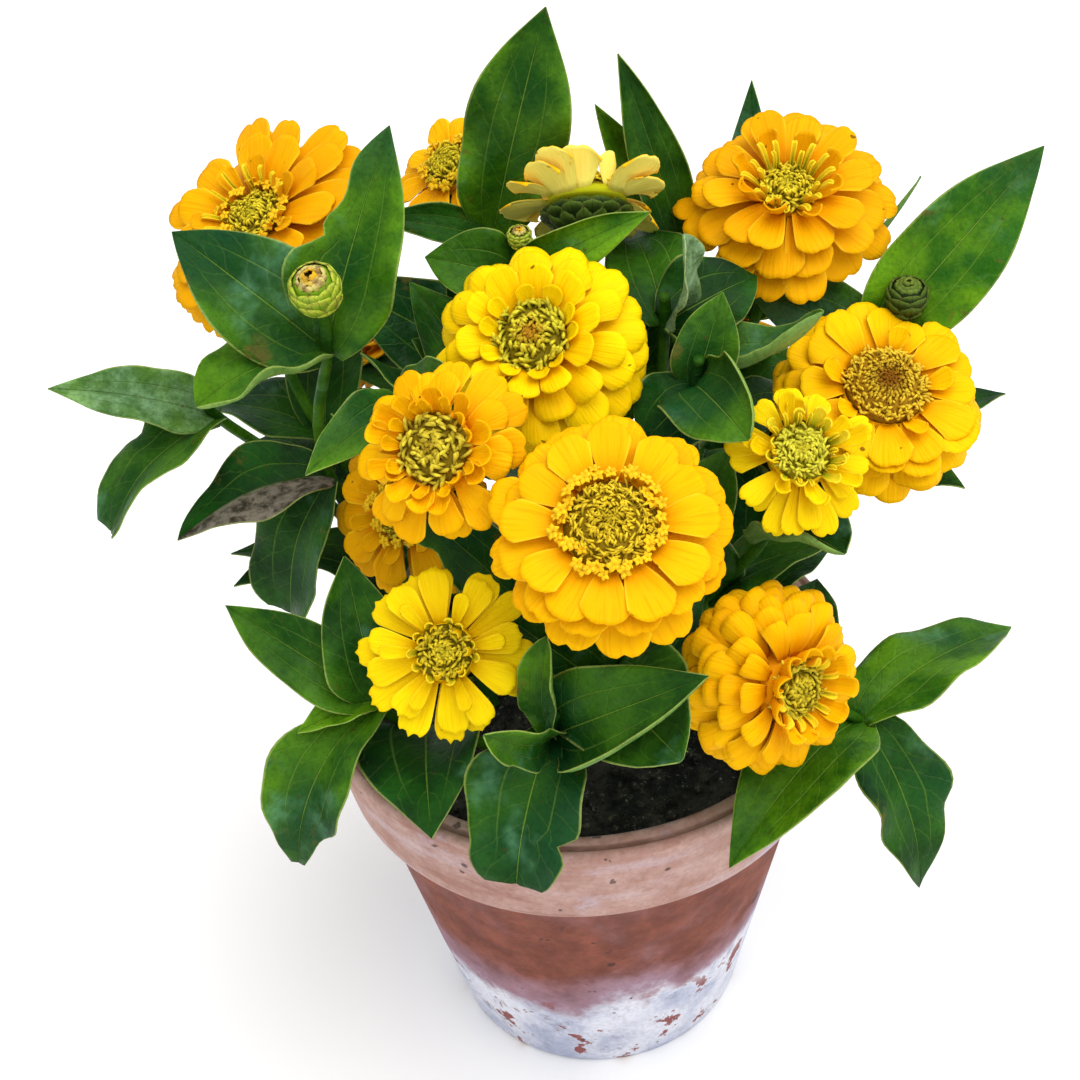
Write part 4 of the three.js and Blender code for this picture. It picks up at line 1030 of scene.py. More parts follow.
def leaf_plans(shoot, index):
    """All leaves planned for a shoot: its own, then those low on its stem."""
    plans = []
    for plan in shoot["leaves"]:
        plans.append(dict(plan, base=vec(shoot["nodes"][plan["node"]]), tip=vec(plan["tip"])))
    low, high = stem_points(shoot)[:2]
    for owner, share, azimuth, length in LOW_LEAVES:
        if owner == index:
            base = lerp(low, high, share)
            a = math.radians(azimuth)
            reach = unit(vec([math.cos(a), math.sin(a), LOW_LEAF_RISE])) * length
            plan = leaf(0, base + reach, length * LOW_LEAF_WIDE, LOW_LEAF_ARCH)
            plans.append(dict(plan, base=base))
    return plans


def leafy_stem_piece(shoot, index):
    """A stem with its leaves and the green cup or bud at its head."""
    name = f"leafy_stem_{index + 1:02d}"
    corners = cad_points(name)
    piece = Piece()
    add_stem(piece, shoot)
    if "bloom" in shoot:
        wide = shoot["bloom"]["disc"] + KINDS[shoot["bloom"]["kind"]]["core_wide"]
        add_scaly_ball(piece, shoot, CUP_PROFILE, wide, 1.0, *CUP_SCALES, index, SCALE_DARK)
    if "bud" in shoot:
        size = shoot["bud"]
        bright = SCALE_DARK if size == CLOSED_BUD else SCALE_BRIGHT
        add_scaly_ball(piece, shoot, BUD_PROFILE, size * 0.9, size * 0.94, *BUD_SCALES, index, bright)
    for k, plan in enumerate(leaf_plans(shoot, index)):
        placed = placed_leaf(plan["base"], plan, corners)
        if placed is None:
            print("left out", name, plan["tip"])
            continue
        young = 1.0 if plan["wide"] <= YOUNG_LEAF_WIDE else 0.0
        height = np.clip((plan["tip"][2] - 130) / 170, 0, 1)
        ways = WAYS.get((index, k), leaf_ways())
        tint = np.clip(0.1 + 0.35 * height + 0.3 * young + 0.3 * (draw(index, 30, k) - 0.5), 0, 1)
        if ways["tint"] is not None:
            tint = ways["tint"]
        add_leaf(piece, placed, ways, index * 10 + k, tint)
    return piece.make(name + "_fine", "leaf", [leaf_material()], [name])


POT_SIDES = 160
LIP_ZONE = 5


def between(low, high, *shares):
    """Places on the line between two places."""
    return [[lerp(low[0], high[0], share), lerp(low[1], high[1], share)] for share in shares]


# The rounded lip and its groove, from the outside in, as how far in and how far down.
LIP_EDGE = [[0.2, 3.4], [0.1, 1.6], [0.8, 0.5], [1.8, 0], [2.7, 0.7], [3.4, 0.9], [4.2, 0.2]]
# The pot from the drain hole round the outside and over the lip to the inside floor, as [radius, height].
POT_PROFILE = [
    [DRAIN_RADIUS, 0],
    [BASE_RADIUS - 2.4, 0],
    [BASE_RADIUS - 0.7, 0.7],
    [BASE_RADIUS, 2.4],
    *between([BASE_RADIUS, 2.4], [WALL_TOP_RADIUS, COLLAR_LOW_Z], 0.25, 0.5, 0.75),
    [WALL_TOP_RADIUS - 0.1, COLLAR_LOW_Z - 0.8],
    [WALL_TOP_RADIUS + 0.6, COLLAR_LOW_Z - 0.1],
    [COLLAR_LOW_RADIUS - 1.1, COLLAR_LOW_Z],
    [COLLAR_LOW_RADIUS - 0.2, COLLAR_LOW_Z + 0.5],
    [COLLAR_LOW_RADIUS + 0.2, COLLAR_LOW_Z + 1.8],
    *between([COLLAR_LOW_RADIUS, COLLAR_LOW_Z + 1], [LIP_RADIUS, POT_HEIGHT - 2.2], 0.35, 0.7),
    *[[LIP_RADIUS - inwards, POT_HEIGHT - down] for inwards, down in LIP_EDGE],
    [LIP_INNER_RADIUS + 2.4, POT_HEIGHT - 0.1],
    [LIP_INNER_RADIUS + 0.8, POT_HEIGHT - 0.5],
    [LIP_INNER_RADIUS + 0.1, POT_HEIGHT - 1.8],
    *between([LIP_INNER_RADIUS, POT_HEIGHT], [FLOOR_RADIUS, FLOOR_THICK], 0.06, 0.14, 0.5),
    [FLOOR_RADIUS, FLOOR_THICK],
    [DRAIN_RADIUS, FLOOR_THICK],
]


def pot_piece():
    """The clay pot, turned with many sides and a little out of true."""
    piece = Piece()
    turns = circle(POT_SIDES)
    out = np.stack([np.cos(turns), np.sin(turns), np.zeros(POT_SIDES)], -1)
    waver = 0.18 * np.sin(3 * turns + 1) + 0.1 * np.sin(7 * turns + 2)
    dip = np.abs(0.25 * np.sin(2 * turns + 0.5))
    rings = []
    for r, z in np.array(POT_PROFILE, float):
        wide = r + (waver if z > 1 else 0 * waver)
        high = z - (dip if z > POT_HEIGHT - LIP_ZONE else 0 * dip)
        rings.append(out * wide[:, None] + np.outer(high, UP))
    at = np.arange(len(rings) * POT_SIDES).reshape(-1, POT_SIDES)
    beside = np.roll(at, -1, axis=1)
    faces = np.stack([at, beside, np.roll(beside, -1, axis=0), np.roll(at, -1, axis=0)], -1)
    piece.add(rings, faces.reshape(-1, 4))
    return piece.make("pot_fine", "terracotta", [terracotta_material()], ["pot"])


SOIL_RINGS = 60
SOIL_SIDES = 160
SOIL_WALL_GAP = 0.5
CRUMBS = 520
CRUMB_SIDES = 7


def pot_inside(z):
    """The inner radius of the pot at a height."""
    return lerp(FLOOR_RADIUS, LIP_INNER_RADIUS, (z - FLOOR_THICK) / (POT_HEIGHT - 1 - FLOOR_THICK))


def lumps(x, y, size, seed):
    """Smooth unevenness of the given size, from -1 to 1, as a sum of crossing waves."""
    total = np.zeros_like(x)
    for k in range(7):
        a = 2 * math.pi * draw(seed, k, 1)
        f = 2 * math.pi / size * lerp(0.7, 1.6, draw(seed, k, 2))
        total += np.sin(f * (x * math.cos(a) + y * math.sin(a)) + 9 * draw(seed, k, 3))
    return total / 3.5


def soil_piece():
    """The soil: a filled body with a crumbly top, and loose crumbs on it."""
    piece = Piece()
    low = FLOOR_THICK + GAP
    turns = circle(SOIL_SIDES)
    edge = pot_inside(SOIL_TOP) - SOIL_WALL_GAP
    rings = []
    for r, z in ((0.5, low), (pot_inside(low) - SOIL_WALL_GAP, low), (pot_inside(90) - SOIL_WALL_GAP, 90)):
        rings.append(np.stack([r * np.cos(turns), r * np.sin(turns), np.full_like(turns, z)], -1))
    for share in np.linspace(1, 0.01, SOIL_RINGS):
        x, y = edge * share * np.cos(turns), edge * share * np.sin(turns)
        rough = 0.9 * lumps(x, y, 22, 1) + 0.55 * lumps(x, y, 7, 2) + 0.35 * lumps(x, y, 3, 3)
        rings.append(np.stack([x, y, SOIL_TOP + 0.4 + rough - 1.6 * share**8], -1))
    piece.rings(np.array(rings))
    for i in range(CRUMBS):
        share = math.sqrt(draw(i, 1, 60)) * 0.96
        turn = 2 * math.pi * draw(i, 2, 60)
        size = lerp(0.5, 2.2, draw(i, 3, 60) ** 3)
        x, y = edge * share * math.cos(turn), edge * share * math.sin(turn)
        add_crumb(piece, vec([x, y, SOIL_TOP + 0.9 + 0.3 * size]), size, i)
    return piece.make("soil_fine", "soil", [soil_material()], ["soil"])


def add_crumb(piece, centre, size, seed):
    """A crumb of soil: a small uneven lump."""
    turns = circle(CRUMB_SIDES)
    rings = []
    for height, reach in ((-0.8, 0.5), (-0.3, 1), (0.4, 0.85), (0.8, 0.4)):
        uneven = np.array([lerp(0.7, 1.25, draw(seed, k, 61 + int(10 * reach))) for k in range(CRUMB_SIDES)])
        ring = np.stack([np.cos(turns) * uneven, np.sin(turns) * uneven, 0 * turns], -1) * reach * size
        rings.append(centre + ring + UP * height * size * 0.7)
    piece.rings(np.array(rings), tint=draw(seed, 1, 62))


def srgb(r, g, b):
    """A colour from 0 to 255 values on a screen to the renderer's own values."""
    def one(c):
        c /= 255
        return c / 12.92 if c <= 0.04045 else ((c + 0.055) / 1.055) ** 2.4
    return (one(r), one(g), one(b), 1.0)


class Nodes:
    """A material's nodes while they are put together."""

    def __init__(self, name, roughness, specular=0.5):
        self.material = bpy.data.materials.new(name)
        self.material.use_nodes = True
        self.tree = self.material.node_tree
        self.shader = self.tree.nodes["Principled BSDF"]
        self.shader.inputs["Roughness"].default_value = roughness
        self.shader.inputs["Specular IOR Level"].default_value = specular
        self.place = self.node("ShaderNodeTexCoord").outputs["Object"]

    def node(self, kind, **settings):
        made = self.tree.nodes.new(kind)
        for key, value in settings.items():
            setattr(made, key, value)
        return made

    def put(self, socket, value):
        """Puts a number, a colour or another node's output on a socket."""
        if isinstance(value, bpy.types.NodeSocket):
            self.tree.links.new(value, socket)
        else:
            socket.default_value = value

    def paint(self, name):
        return self.node("ShaderNodeAttribute", attribute_name=name).outputs["Fac"]

    def maths(self, kind, a, b=0.0):
        made = self.node("ShaderNodeMath", operation=kind)
        self.put(made.inputs[0], a)
        self.put(made.inputs[1], b)
        return made.outputs[0]

    def times(self, a, b):
        return self.maths("MULTIPLY", a, b)

    def plus(self, a, b):
        return self.maths("ADD", a, b)

    def less(self, a, b):
        return self.maths("SUBTRACT", a, b)

    def most(self, a, b):
        return self.maths("MAXIMUM", a, b)

    def size(self, a):
        return self.maths("ABSOLUTE", a)

    def band(self, value, low, high, out_low=0.0, out_high=1.0):
        """Goes smoothly from out_low to out_high while the value goes from low to high."""
        made = self.node("ShaderNodeMapRange", interpolation_type="SMOOTHSTEP")
        for i, v in enumerate((value, low, high, out_low, out_high)):
            self.put(made.inputs[i], v)
        return made.outputs[0]

    def scaled(self, place, scale):
        mapping = self.node("ShaderNodeMapping")
        self.put(mapping.inputs["Vector"], place)
        mapping.inputs["Scale"].default_value = scale
        return mapping.outputs["Vector"]

    def noise(self, scale, detail=3.0, rough=0.55, stretch=None, place=None):
        """Noise from 0 to 1. scale is in features per metre, stretch scales the three directions."""
        where = place or self.place
        if stretch:
            where = self.scaled(where, stretch)
        made = self.node("ShaderNodeTexNoise")
        self.put(made.inputs["Vector"], where)
        for key, value in (("Scale", scale), ("Detail", detail), ("Roughness", rough)):
            made.inputs[key].default_value = value
        return made.outputs["Fac"]

    def height(self):
        made = self.node("ShaderNodeSeparateXYZ")
        self.put(made.inputs[0], self.place)
        return made.outputs["Z"]

    def radius(self):
        """How far a place is from the upright axis."""
        made = self.node("ShaderNodeVectorMath", operation="LENGTH")
        self.put(made.inputs[0], self.scaled(self.place, (1.0, 1.0, 0.0)))
        return made.outputs["Value"]

    def distance(self, point):
        made = self.node("ShaderNodeVectorMath", operation="DISTANCE")
        self.put(made.inputs[0], self.place)
        made.inputs[1].default_value = point
        return made.outputs["Value"]

    def mix(self, share, a, b):
        made = self.node("ShaderNodeMix", data_type="RGBA")
        self.put(made.inputs[0], share)
        self.put(made.inputs[6], a)
        self.put(made.inputs[7], b)
        return made.outputs[2]

    def finish(self, colour, height=None, depth=0.0, roughness=None):
        """Puts the colour, the bump's height and the roughness on the shader. depth is in metres."""
        self.put(self.shader.inputs["Base Color"], colour)
        if roughness is not None:
            self.put(self.shader.inputs["Roughness"], roughness)
        if height is not None:
            bump = self.node("ShaderNodeBump")
            bump.inputs["Distance"].default_value = depth
            self.put(bump.inputs["Height"], height)
            self.put(self.shader.inputs["Normal"], bump.outputs["Normal"])
        return self.material


def once(make):
    """Makes a material the first time that it is asked for, and gives the same one afterwards."""
    made = []

    def again():
        if not made:
            made.append(make())
        return made[0]

    return again


def leaf_veins(n, along, side, patches):
    """Where veins lie: in a leaf's middle, once on either side of it, and as fine slanting ribs."""
    middle = n.band(side, 0.006, 0.03, 1, 0)
    beside = n.size(n.less(side, VEIN_PLACE))
    beside = n.times(n.band(beside, 0.004, 0.03, 1, 0), n.band(along, 0.6, 0.95, 1, 0))
    slant = n.less(n.times(along, 8.0), n.times(side, 2.0))
    slant = n.plus(slant, n.times(patches, 1.6))
    ribs = n.band(n.maths("PINGPONG", slant, 0.5), 0.0, 0.06, 1, 0)
    return n.most(n.most(middle, n.times(beside, 0.5)), n.times(ribs, 0.22))


def grey_side(n, across, tint):
    """How far a leaf is grey, and the grey's colour, which is brown from a tint of 2.9."""
    half = n.times(n.band(tint, 2.4, 2.6), n.band(across, -0.06, 0.06))
    grey = n.times(n.band(tint, 1.1, 1.9), n.less(1.0, half))
    ash = n.mix(n.band(n.noise(160, 5, 0.7), 0.36, 0.66), srgb(80, 112, 62), srgb(148, 184, 138))
    soot = n.mix(n.band(n.noise(260, 5, 0.7), 0.36, 0.62), srgb(52, 46, 34), srgb(126, 118, 104))
    return grey, n.mix(n.band(tint, 2.8, 3.0), ash, soot)


def scale_colour(n, along, side, tint):
    """The scales round a bud, or deeper green ones under a bloom, with brown rims."""
    scale = n.mix(n.band(along, 0.2, 1.0), srgb(104, 148, 16), srgb(188, 200, 66))
    scale = n.mix(n.band(n.noise(330, 4, 0.7), 0.5, 0.66, 0, 0.6), scale, srgb(128, 112, 62))
    deep = n.mix(n.band(along, 0.3, 1.0), srgb(26, 44, 10), srgb(84, 108, 36))
    scale = n.mix(n.band(tint, -0.65, -0.85), scale, deep)
    rim = n.most(n.band(side, 0.84, 0.98), n.band(along, 0.88, 0.98))
    rim = n.times(rim, n.band(n.noise(600, 2), 0.3, 0.6, 0.2, 0.7))
    return n.mix(rim, scale, srgb(96, 76, 44))


@once
def leaf_material():
    """Leaves from dark to bright green with thin pale veins. A tint below 0 is a scale with a dark rim. One
    well above 1 is a grey leaf. From 2.5 only its left half is grey, and from 2.9 that half is brown."""
    n = Nodes("leaf", 0.42, 0.1)
    along, across, tint, under = (n.paint(p) for p in PAINTS)
    side = n.size(across)
    patches = n.noise(55, 4, 0.6)
    patchy = n.band(patches, 0.34, 0.66)
    dark = n.mix(patchy, srgb(8, 38, 10), srgb(30, 84, 20))
    bright = n.mix(patchy, srgb(38, 96, 4), srgb(106, 158, 14))
    colour = n.mix(n.times(n.band(tint, 0, 1), n.band(tint, 2.6, 2.4)), dark, bright)
    colour = n.mix(n.band(n.noise(24, 2), 0.48, 0.68, 0, 0.75), colour, srgb(10, 62, 36))
    colour = n.mix(n.band(side, 0.3, 1.0, 0.35, 0.0), colour, srgb(18, 66, 8))
    # Painted sheen: pale blue-green patches that stand in for the sky reflected on the glossy leaves.
    colour = n.mix(n.band(n.noise(36, 4, 0.65), 0.56, 0.74, 0, 0.45), colour, srgb(100, 158, 118))
    veins = leaf_veins(n, along, side, patches)
    colour = n.mix(n.times(veins, 0.45), colour, srgb(128, 168, 62))
    pale = n.mix(n.band(patches, 0.3, 0.7), srgb(84, 126, 50), srgb(134, 170, 84))
    pale = n.mix(n.times(veins, 0.7), pale, srgb(170, 192, 120))
    colour = n.mix(n.times(under, 0.85), colour, pale)
    grey, ash = grey_side(n, across, tint)
    colour = n.mix(grey, colour, ash)
    colour = n.mix(n.band(side, 0.955, 0.99, 0, 0.45), colour, srgb(176, 190, 96))
    blotch = n.times(n.band(n.noise(75, 4, 0.7), 0.62, 0.7), n.band(side, 0.3, 0.9))
    colour = n.mix(n.times(blotch, 0.65), colour, srgb(96, 84, 30))
    specks = n.band(n.noise(380, 2), 0.7, 0.75)
    colour = n.mix(n.times(specks, 0.6), colour, srgb(70, 52, 20))
    colour = n.mix(n.times(n.band(n.noise(900, 2), 0.4, 0.75), 0.25), colour, srgb(4, 26, 4))
    scale = scale_colour(n, along, side, tint)
    colour = n.mix(n.band(tint, -0.1, -0.25), colour, scale)
    height = n.less(n.times(n.noise(600, 3), 0.7), n.times(veins, 0.8))
    return n.finish(colour, height, 0.0005, n.band(n.noise(80, 3), 0.3, 0.7, 0.34, 0.58))


def petal_material(label, look):
    """Petals: deeper at the root, with fine lengthwise streaks. A tint below 0 is a young green one."""
    n = Nodes("petal_" + label, 0.55, 0.04)
    along, across, tint, under = (n.paint(p) for p in PAINTS)
    inner, outer, deep, below = (srgb(*look[key]) for key in ("inner", "outer", "deep", "below"))
    spread = n.node("ShaderNodeCombineXYZ")
    n.put(spread.inputs[0], n.times(across, 8.0))
    n.put(spread.inputs[1], n.times(along, 1.1))
    n.put(spread.inputs[2], n.times(tint, 40.0))
    streaks = n.noise(1.0, 3, place=spread.outputs[0])
    colour = n.mix(n.band(along, 0.0, 0.6), inner, outer)
    colour = n.mix(n.times(n.band(streaks, 0.46, 0.7), 0.45), colour, deep)
    colour = n.mix(n.band(tint, 0.2, 1.0, 0.0, 0.3), colour, deep)
    colour = n.mix(n.band(n.noise(70, 3), 0.5, 0.8, 0.0, 0.35), colour, deep)
    # Painted shade: the petals darken further towards their roots, where neighbouring petals overlap.
    colour = n.mix(n.band(along, 0.3, 0.0, 0.0, 0.6), colour, deep)
    green = n.mix(n.band(along, 0.05, 0.8), srgb(176, 178, 20), srgb(250, 226, 44))
    colour = n.mix(n.band(tint, -0.1, -0.25), colour, green)
    # Painted highlight: the petals' side edges turn lighter yellow, as where light catches their rims.
    colour = n.mix(n.band(n.size(across), 0.84, 1.0, 0.0, 0.35), colour, srgb(255, 224, 50))
    colour = n.mix(n.times(under, look["under"]), colour, below)
    colour = n.mix(n.band(n.noise(260, 1), 0.77, 0.8, 0.0, 0.8), colour, srgb(96, 50, 8))
    height = n.plus(streaks, n.times(n.noise(1500, 2), 0.25))
    return n.finish(colour, height, 0.0003, n.band(n.noise(200, 2), 0.3, 0.7, 0.45, 0.65))


def disc_material(label, look):
    """Disc florets: dark at the root and green-yellow at the tip, and open ones golden."""
    n = Nodes("disc_" + label, 0.6, 0.1)
    along, tint = n.paint("along"), n.paint("tint")
    tip = n.mix(n.band(tint, 0.2, 0.75), srgb(*look["disc_centre"]), srgb(*look["disc_tip"]))
    # Painted shade: each curling floret darkens towards its root, for the shade in the gaps between the
    # florets.
    curl = n.mix(n.band(along, 0.1, 0.95), srgb(*look["disc_root"]), tip)
    star = n.mix(n.band(along, 0.3, 0.8), srgb(214, 142, 6), srgb(252, 202, 26))
    colour = n.mix(n.band(tint, 1.2, 1.3), curl, star)
    colour = n.mix(n.band(n.noise(800, 2), 0.35, 0.6, 0.3, 0.0), colour, srgb(96, 62, 8))
    return n.finish(colour, n.noise(2200, 2), 0.0002, n.band(n.noise(500, 2), 0.3, 0.7, 0.5, 0.75))


@once
def bud_material():
    """Bud tips: yellow with brown ends round a dark hollow. A closed bud's are green."""
    n = Nodes("bud_tip", 0.6, 0.1)
    along, tint = n.paint("along"), n.paint("tint")
    cream = n.mix(n.band(along, 0.1, 0.8), srgb(150, 160, 50), srgb(206, 190, 112))
    colour = n.mix(n.band(tint, 0.2, 0.8), cream, srgb(216, 170, 30))
    colour = n.mix(n.band(n.noise(420, 3), 0.42, 0.6, 0, 0.8), colour, srgb(120, 88, 56))
    colour = n.mix(n.band(tint, 1.4, 1.6), colour, n.mix(along, srgb(62, 90, 22), srgb(116, 130, 52)))
    # Painted shade: an open bud's core, marked by an along below 0, is dark brown for the hollow between its
    # petals.
    colour = n.mix(n.band(along, -0.3, -0.6), colour, srgb(52, 34, 12))
    return n.finish(colour, n.noise(1200, 2), 0.0003, n.band(n.noise(400, 2), 0.3, 0.7, 0.45, 0.65))


@once
def soil_material():
    """Wet dark soil with paler specks."""
    n = Nodes("soil", 0.9, 0.25)
    colour = n.mix(n.band(n.noise(110, 6, 0.7), 0.4, 0.68), srgb(16, 19, 17), srgb(66, 66, 60))
    colour = n.mix(n.band(n.noise(520, 3, 0.7), 0.6, 0.7, 0, 0.8), colour, srgb(128, 130, 118))
    colour = n.mix(n.band(n.noise(300, 3, 0.7), 0.58, 0.7, 0, 0.7), colour, srgb(96, 100, 84))
    colour = n.mix(n.times(n.paint("tint"), 0.4), colour, srgb(48, 38, 32))
    return n.finish(colour, n.noise(900, 5, 0.7), 0.0009, n.band(n.noise(600, 3), 0.3, 0.7, 0.7, 1.0))


# Where the clay's colours change, in metres: heights, and radii for the inside.
COLLAR_STARTS = (0.1046, 0.1056)
LIP_STARTS = (0.128, 0.132)
LILAC_ENDS = (0.068, 0.040)
LIME_ENDS = (0.045, 0.033)
BARE_PATCHES_END = (0.05, 0.03)
INSIDE_STARTS = (0.0732, 0.0716)
DIRT_STARTS = (0.118, 0.122)
# The groove on top of the lip, and the dark smudges on the pot as [x, y, z, size].
GROOVE_RADIUS = LIP_RADIUS - 3.2
POT_SPOTS = [[50, -34, 59, 3.2], [2, -62, 67.5, 1.8], [18.7, -76, 124.5, 1.2], [-37.3, -69, 125, 1.4]]


def clay_wall(n, fine, broad):
    """Brick red with lilac patches."""
    wall = n.mix(n.band(fine, 0.3, 0.7), srgb(106, 58, 46), srgb(141, 81, 65))
    return n.mix(n.band(broad, 0.46, 0.7, 0.0, 0.7), wall, srgb(156, 120, 126))


def clay_collar(n, fine, patch):
    """Paler clay with upright streaks."""
    streak = n.noise(1.0, 5, 0.6, stretch=(22, 22, 110))
    collar = n.mix(n.band(fine, 0.3, 0.72), srgb(170, 129, 117), srgb(193, 160, 151))
    collar = n.mix(n.band(streak, 0.5, 0.7, 0.0, 0.5), collar, srgb(204, 186, 194))
    collar = n.mix(n.band(patch, 0.56, 0.7, 0.0, 0.6), collar, srgb(196, 186, 204))
    return n.mix(n.band(streak, 0.42, 0.3, 0.0, 0.5), collar, srgb(150, 100, 86))


def add_lime(n, colour, z, broad, patch, fine):
    """Lime on the lower third below a lilac edge, with bare clay in patches."""
    edge = n.plus(z, n.times(n.less(broad, 0.5), -0.07))
    edge = n.plus(edge, n.times(n.less(fine, 0.5), -0.022))
    lime = n.mix(n.band(patch, 0.34, 0.62), srgb(176, 184, 208), srgb(226, 229, 240))
    lime = n.mix(n.band(fine, 0.54, 0.7, 0.0, 0.7), lime, srgb(140, 148, 172))
    colour = n.mix(n.band(edge, *LILAC_ENDS, 0.0, 0.6), colour, srgb(172, 146, 168))
    colour = n.mix(n.band(edge, *LIME_ENDS, 0.0, 0.95), colour, lime)
    bare = n.band(n.noise(84, 5, 0.65), 0.578, 0.615)
    return n.mix(n.times(bare, n.band(z, *BARE_PATCHES_END)), colour, srgb(142, 84, 82))


@once
def terracotta_material():
    """Old clay: a light collar with lilac bloom, a brick-red wall, and lime on the lower third."""
    n = Nodes("terracotta", 0.85, 0.25)
    z, r = n.height(), n.radius()
    broad = n.noise(16, 5, 0.6)
    patch = n.noise(42, 4, 0.6)
    fine = n.noise(95, 5, 0.65)
    grain = n.noise(650, 4, 0.6)
    colour = n.mix(n.band(z, *COLLAR_STARTS), clay_wall(n, fine, broad), clay_collar(n, fine, patch))
    colour = add_lime(n, colour, z, broad, patch, fine)
    pits = n.band(n.noise(210, 2), 0.71, 0.75)
    colour = n.mix(n.times(pits, 0.75), colour, srgb(74, 60, 62))
    colour = n.mix(n.band(grain, 0.35, 0.6, 0.16, 0.0), colour, srgb(70, 36, 30))
    above = n.band(z, *LIP_STARTS)
    groove = n.band(n.size(n.less(r, GROOVE_RADIUS * MM)), 0.0013, 0.0005)
    groove = n.times(n.times(groove, above), n.band(patch, 0.3, 0.6, 0.9, 0.4))
    colour = n.mix(groove, colour, srgb(92, 54, 44))
    inside = n.times(n.band(r, *INSIDE_STARTS), n.band(z, *DIRT_STARTS))
    dirt = n.mix(n.band(fine, 0.4, 0.6), srgb(76, 58, 54), srgb(164, 150, 156))
    colour = n.mix(n.times(inside, 0.8), colour, dirt)
    for x, y, height, size in POT_SPOTS:
        near = n.plus(n.distance([x * MM, y * MM, height * MM]), n.times(fine, size * MM))
        colour = n.mix(n.band(near, size * MM * 1.5, size * MM * 0.9, 0.0, 0.8), colour, srgb(58, 40, 38))
    height = n.plus(n.times(grain, 0.6), n.times(fine, 0.8))
    height = n.less(height, n.times(pits, 0.8))
    return n.finish(colour, height, 0.0005, n.band(grain, 0.3, 0.7, 0.74, 0.95))


def look(inner, outer, deep, rings, **changes):
    """A bloom's looks: its petals' colours and rings, and what differs from most blooms.

    curl is a floret's length, thickness and bend. loose says how uneven the petals are, raised and drooped
    how far the back ones rise and the front ones hang, in degrees."""
    usual = {
        "inner": inner, "outer": outer, "deep": deep, "below": deep, "under": 0.7, "core": 0.2,
        "slot": "petal_gold", "rings": rings, "loose": 1.0, "raised": 0, "drooped": 0,
        "florets": 260, "curl": (3.8, 0.4, 100), "middle": 0.7, "stars": 0, "star_size": 1.5,
        "disc_wide": 0.85, "disc_high": 1.0,
        "disc_root": (128, 112, 12), "disc_centre": (196, 180, 34), "disc_tip": (244, 222, 50),
    }
    return {**usual, **changes}


ORANGE_GOLD = ((228, 146, 0), (238, 173, 2), (218, 138, 0))
GOLD = ((236, 158, 0), (246, 186, 2), (226, 148, 0))
LIGHT_GOLD = ((240, 166, 0), (250, 197, 2), (230, 156, 0))
YELLOW = ((238, 180, 0), (250, 214, 2), (236, 176, 0))
LEMON = ((234, 192, 4), (250, 218, 8), (232, 184, 2))

DOUBLE = rings(LOBED, [0, 13, 1, 0.92]) + rings(FLAT, [0.5, 12, 0.93, 0.92], [1, 11, 0.84, 0.88])
DAISY = rings(LOBED, [0, 11, 1, 0.95]) + rings(FLAT, [0.6, 10, 0.86, 0.92])

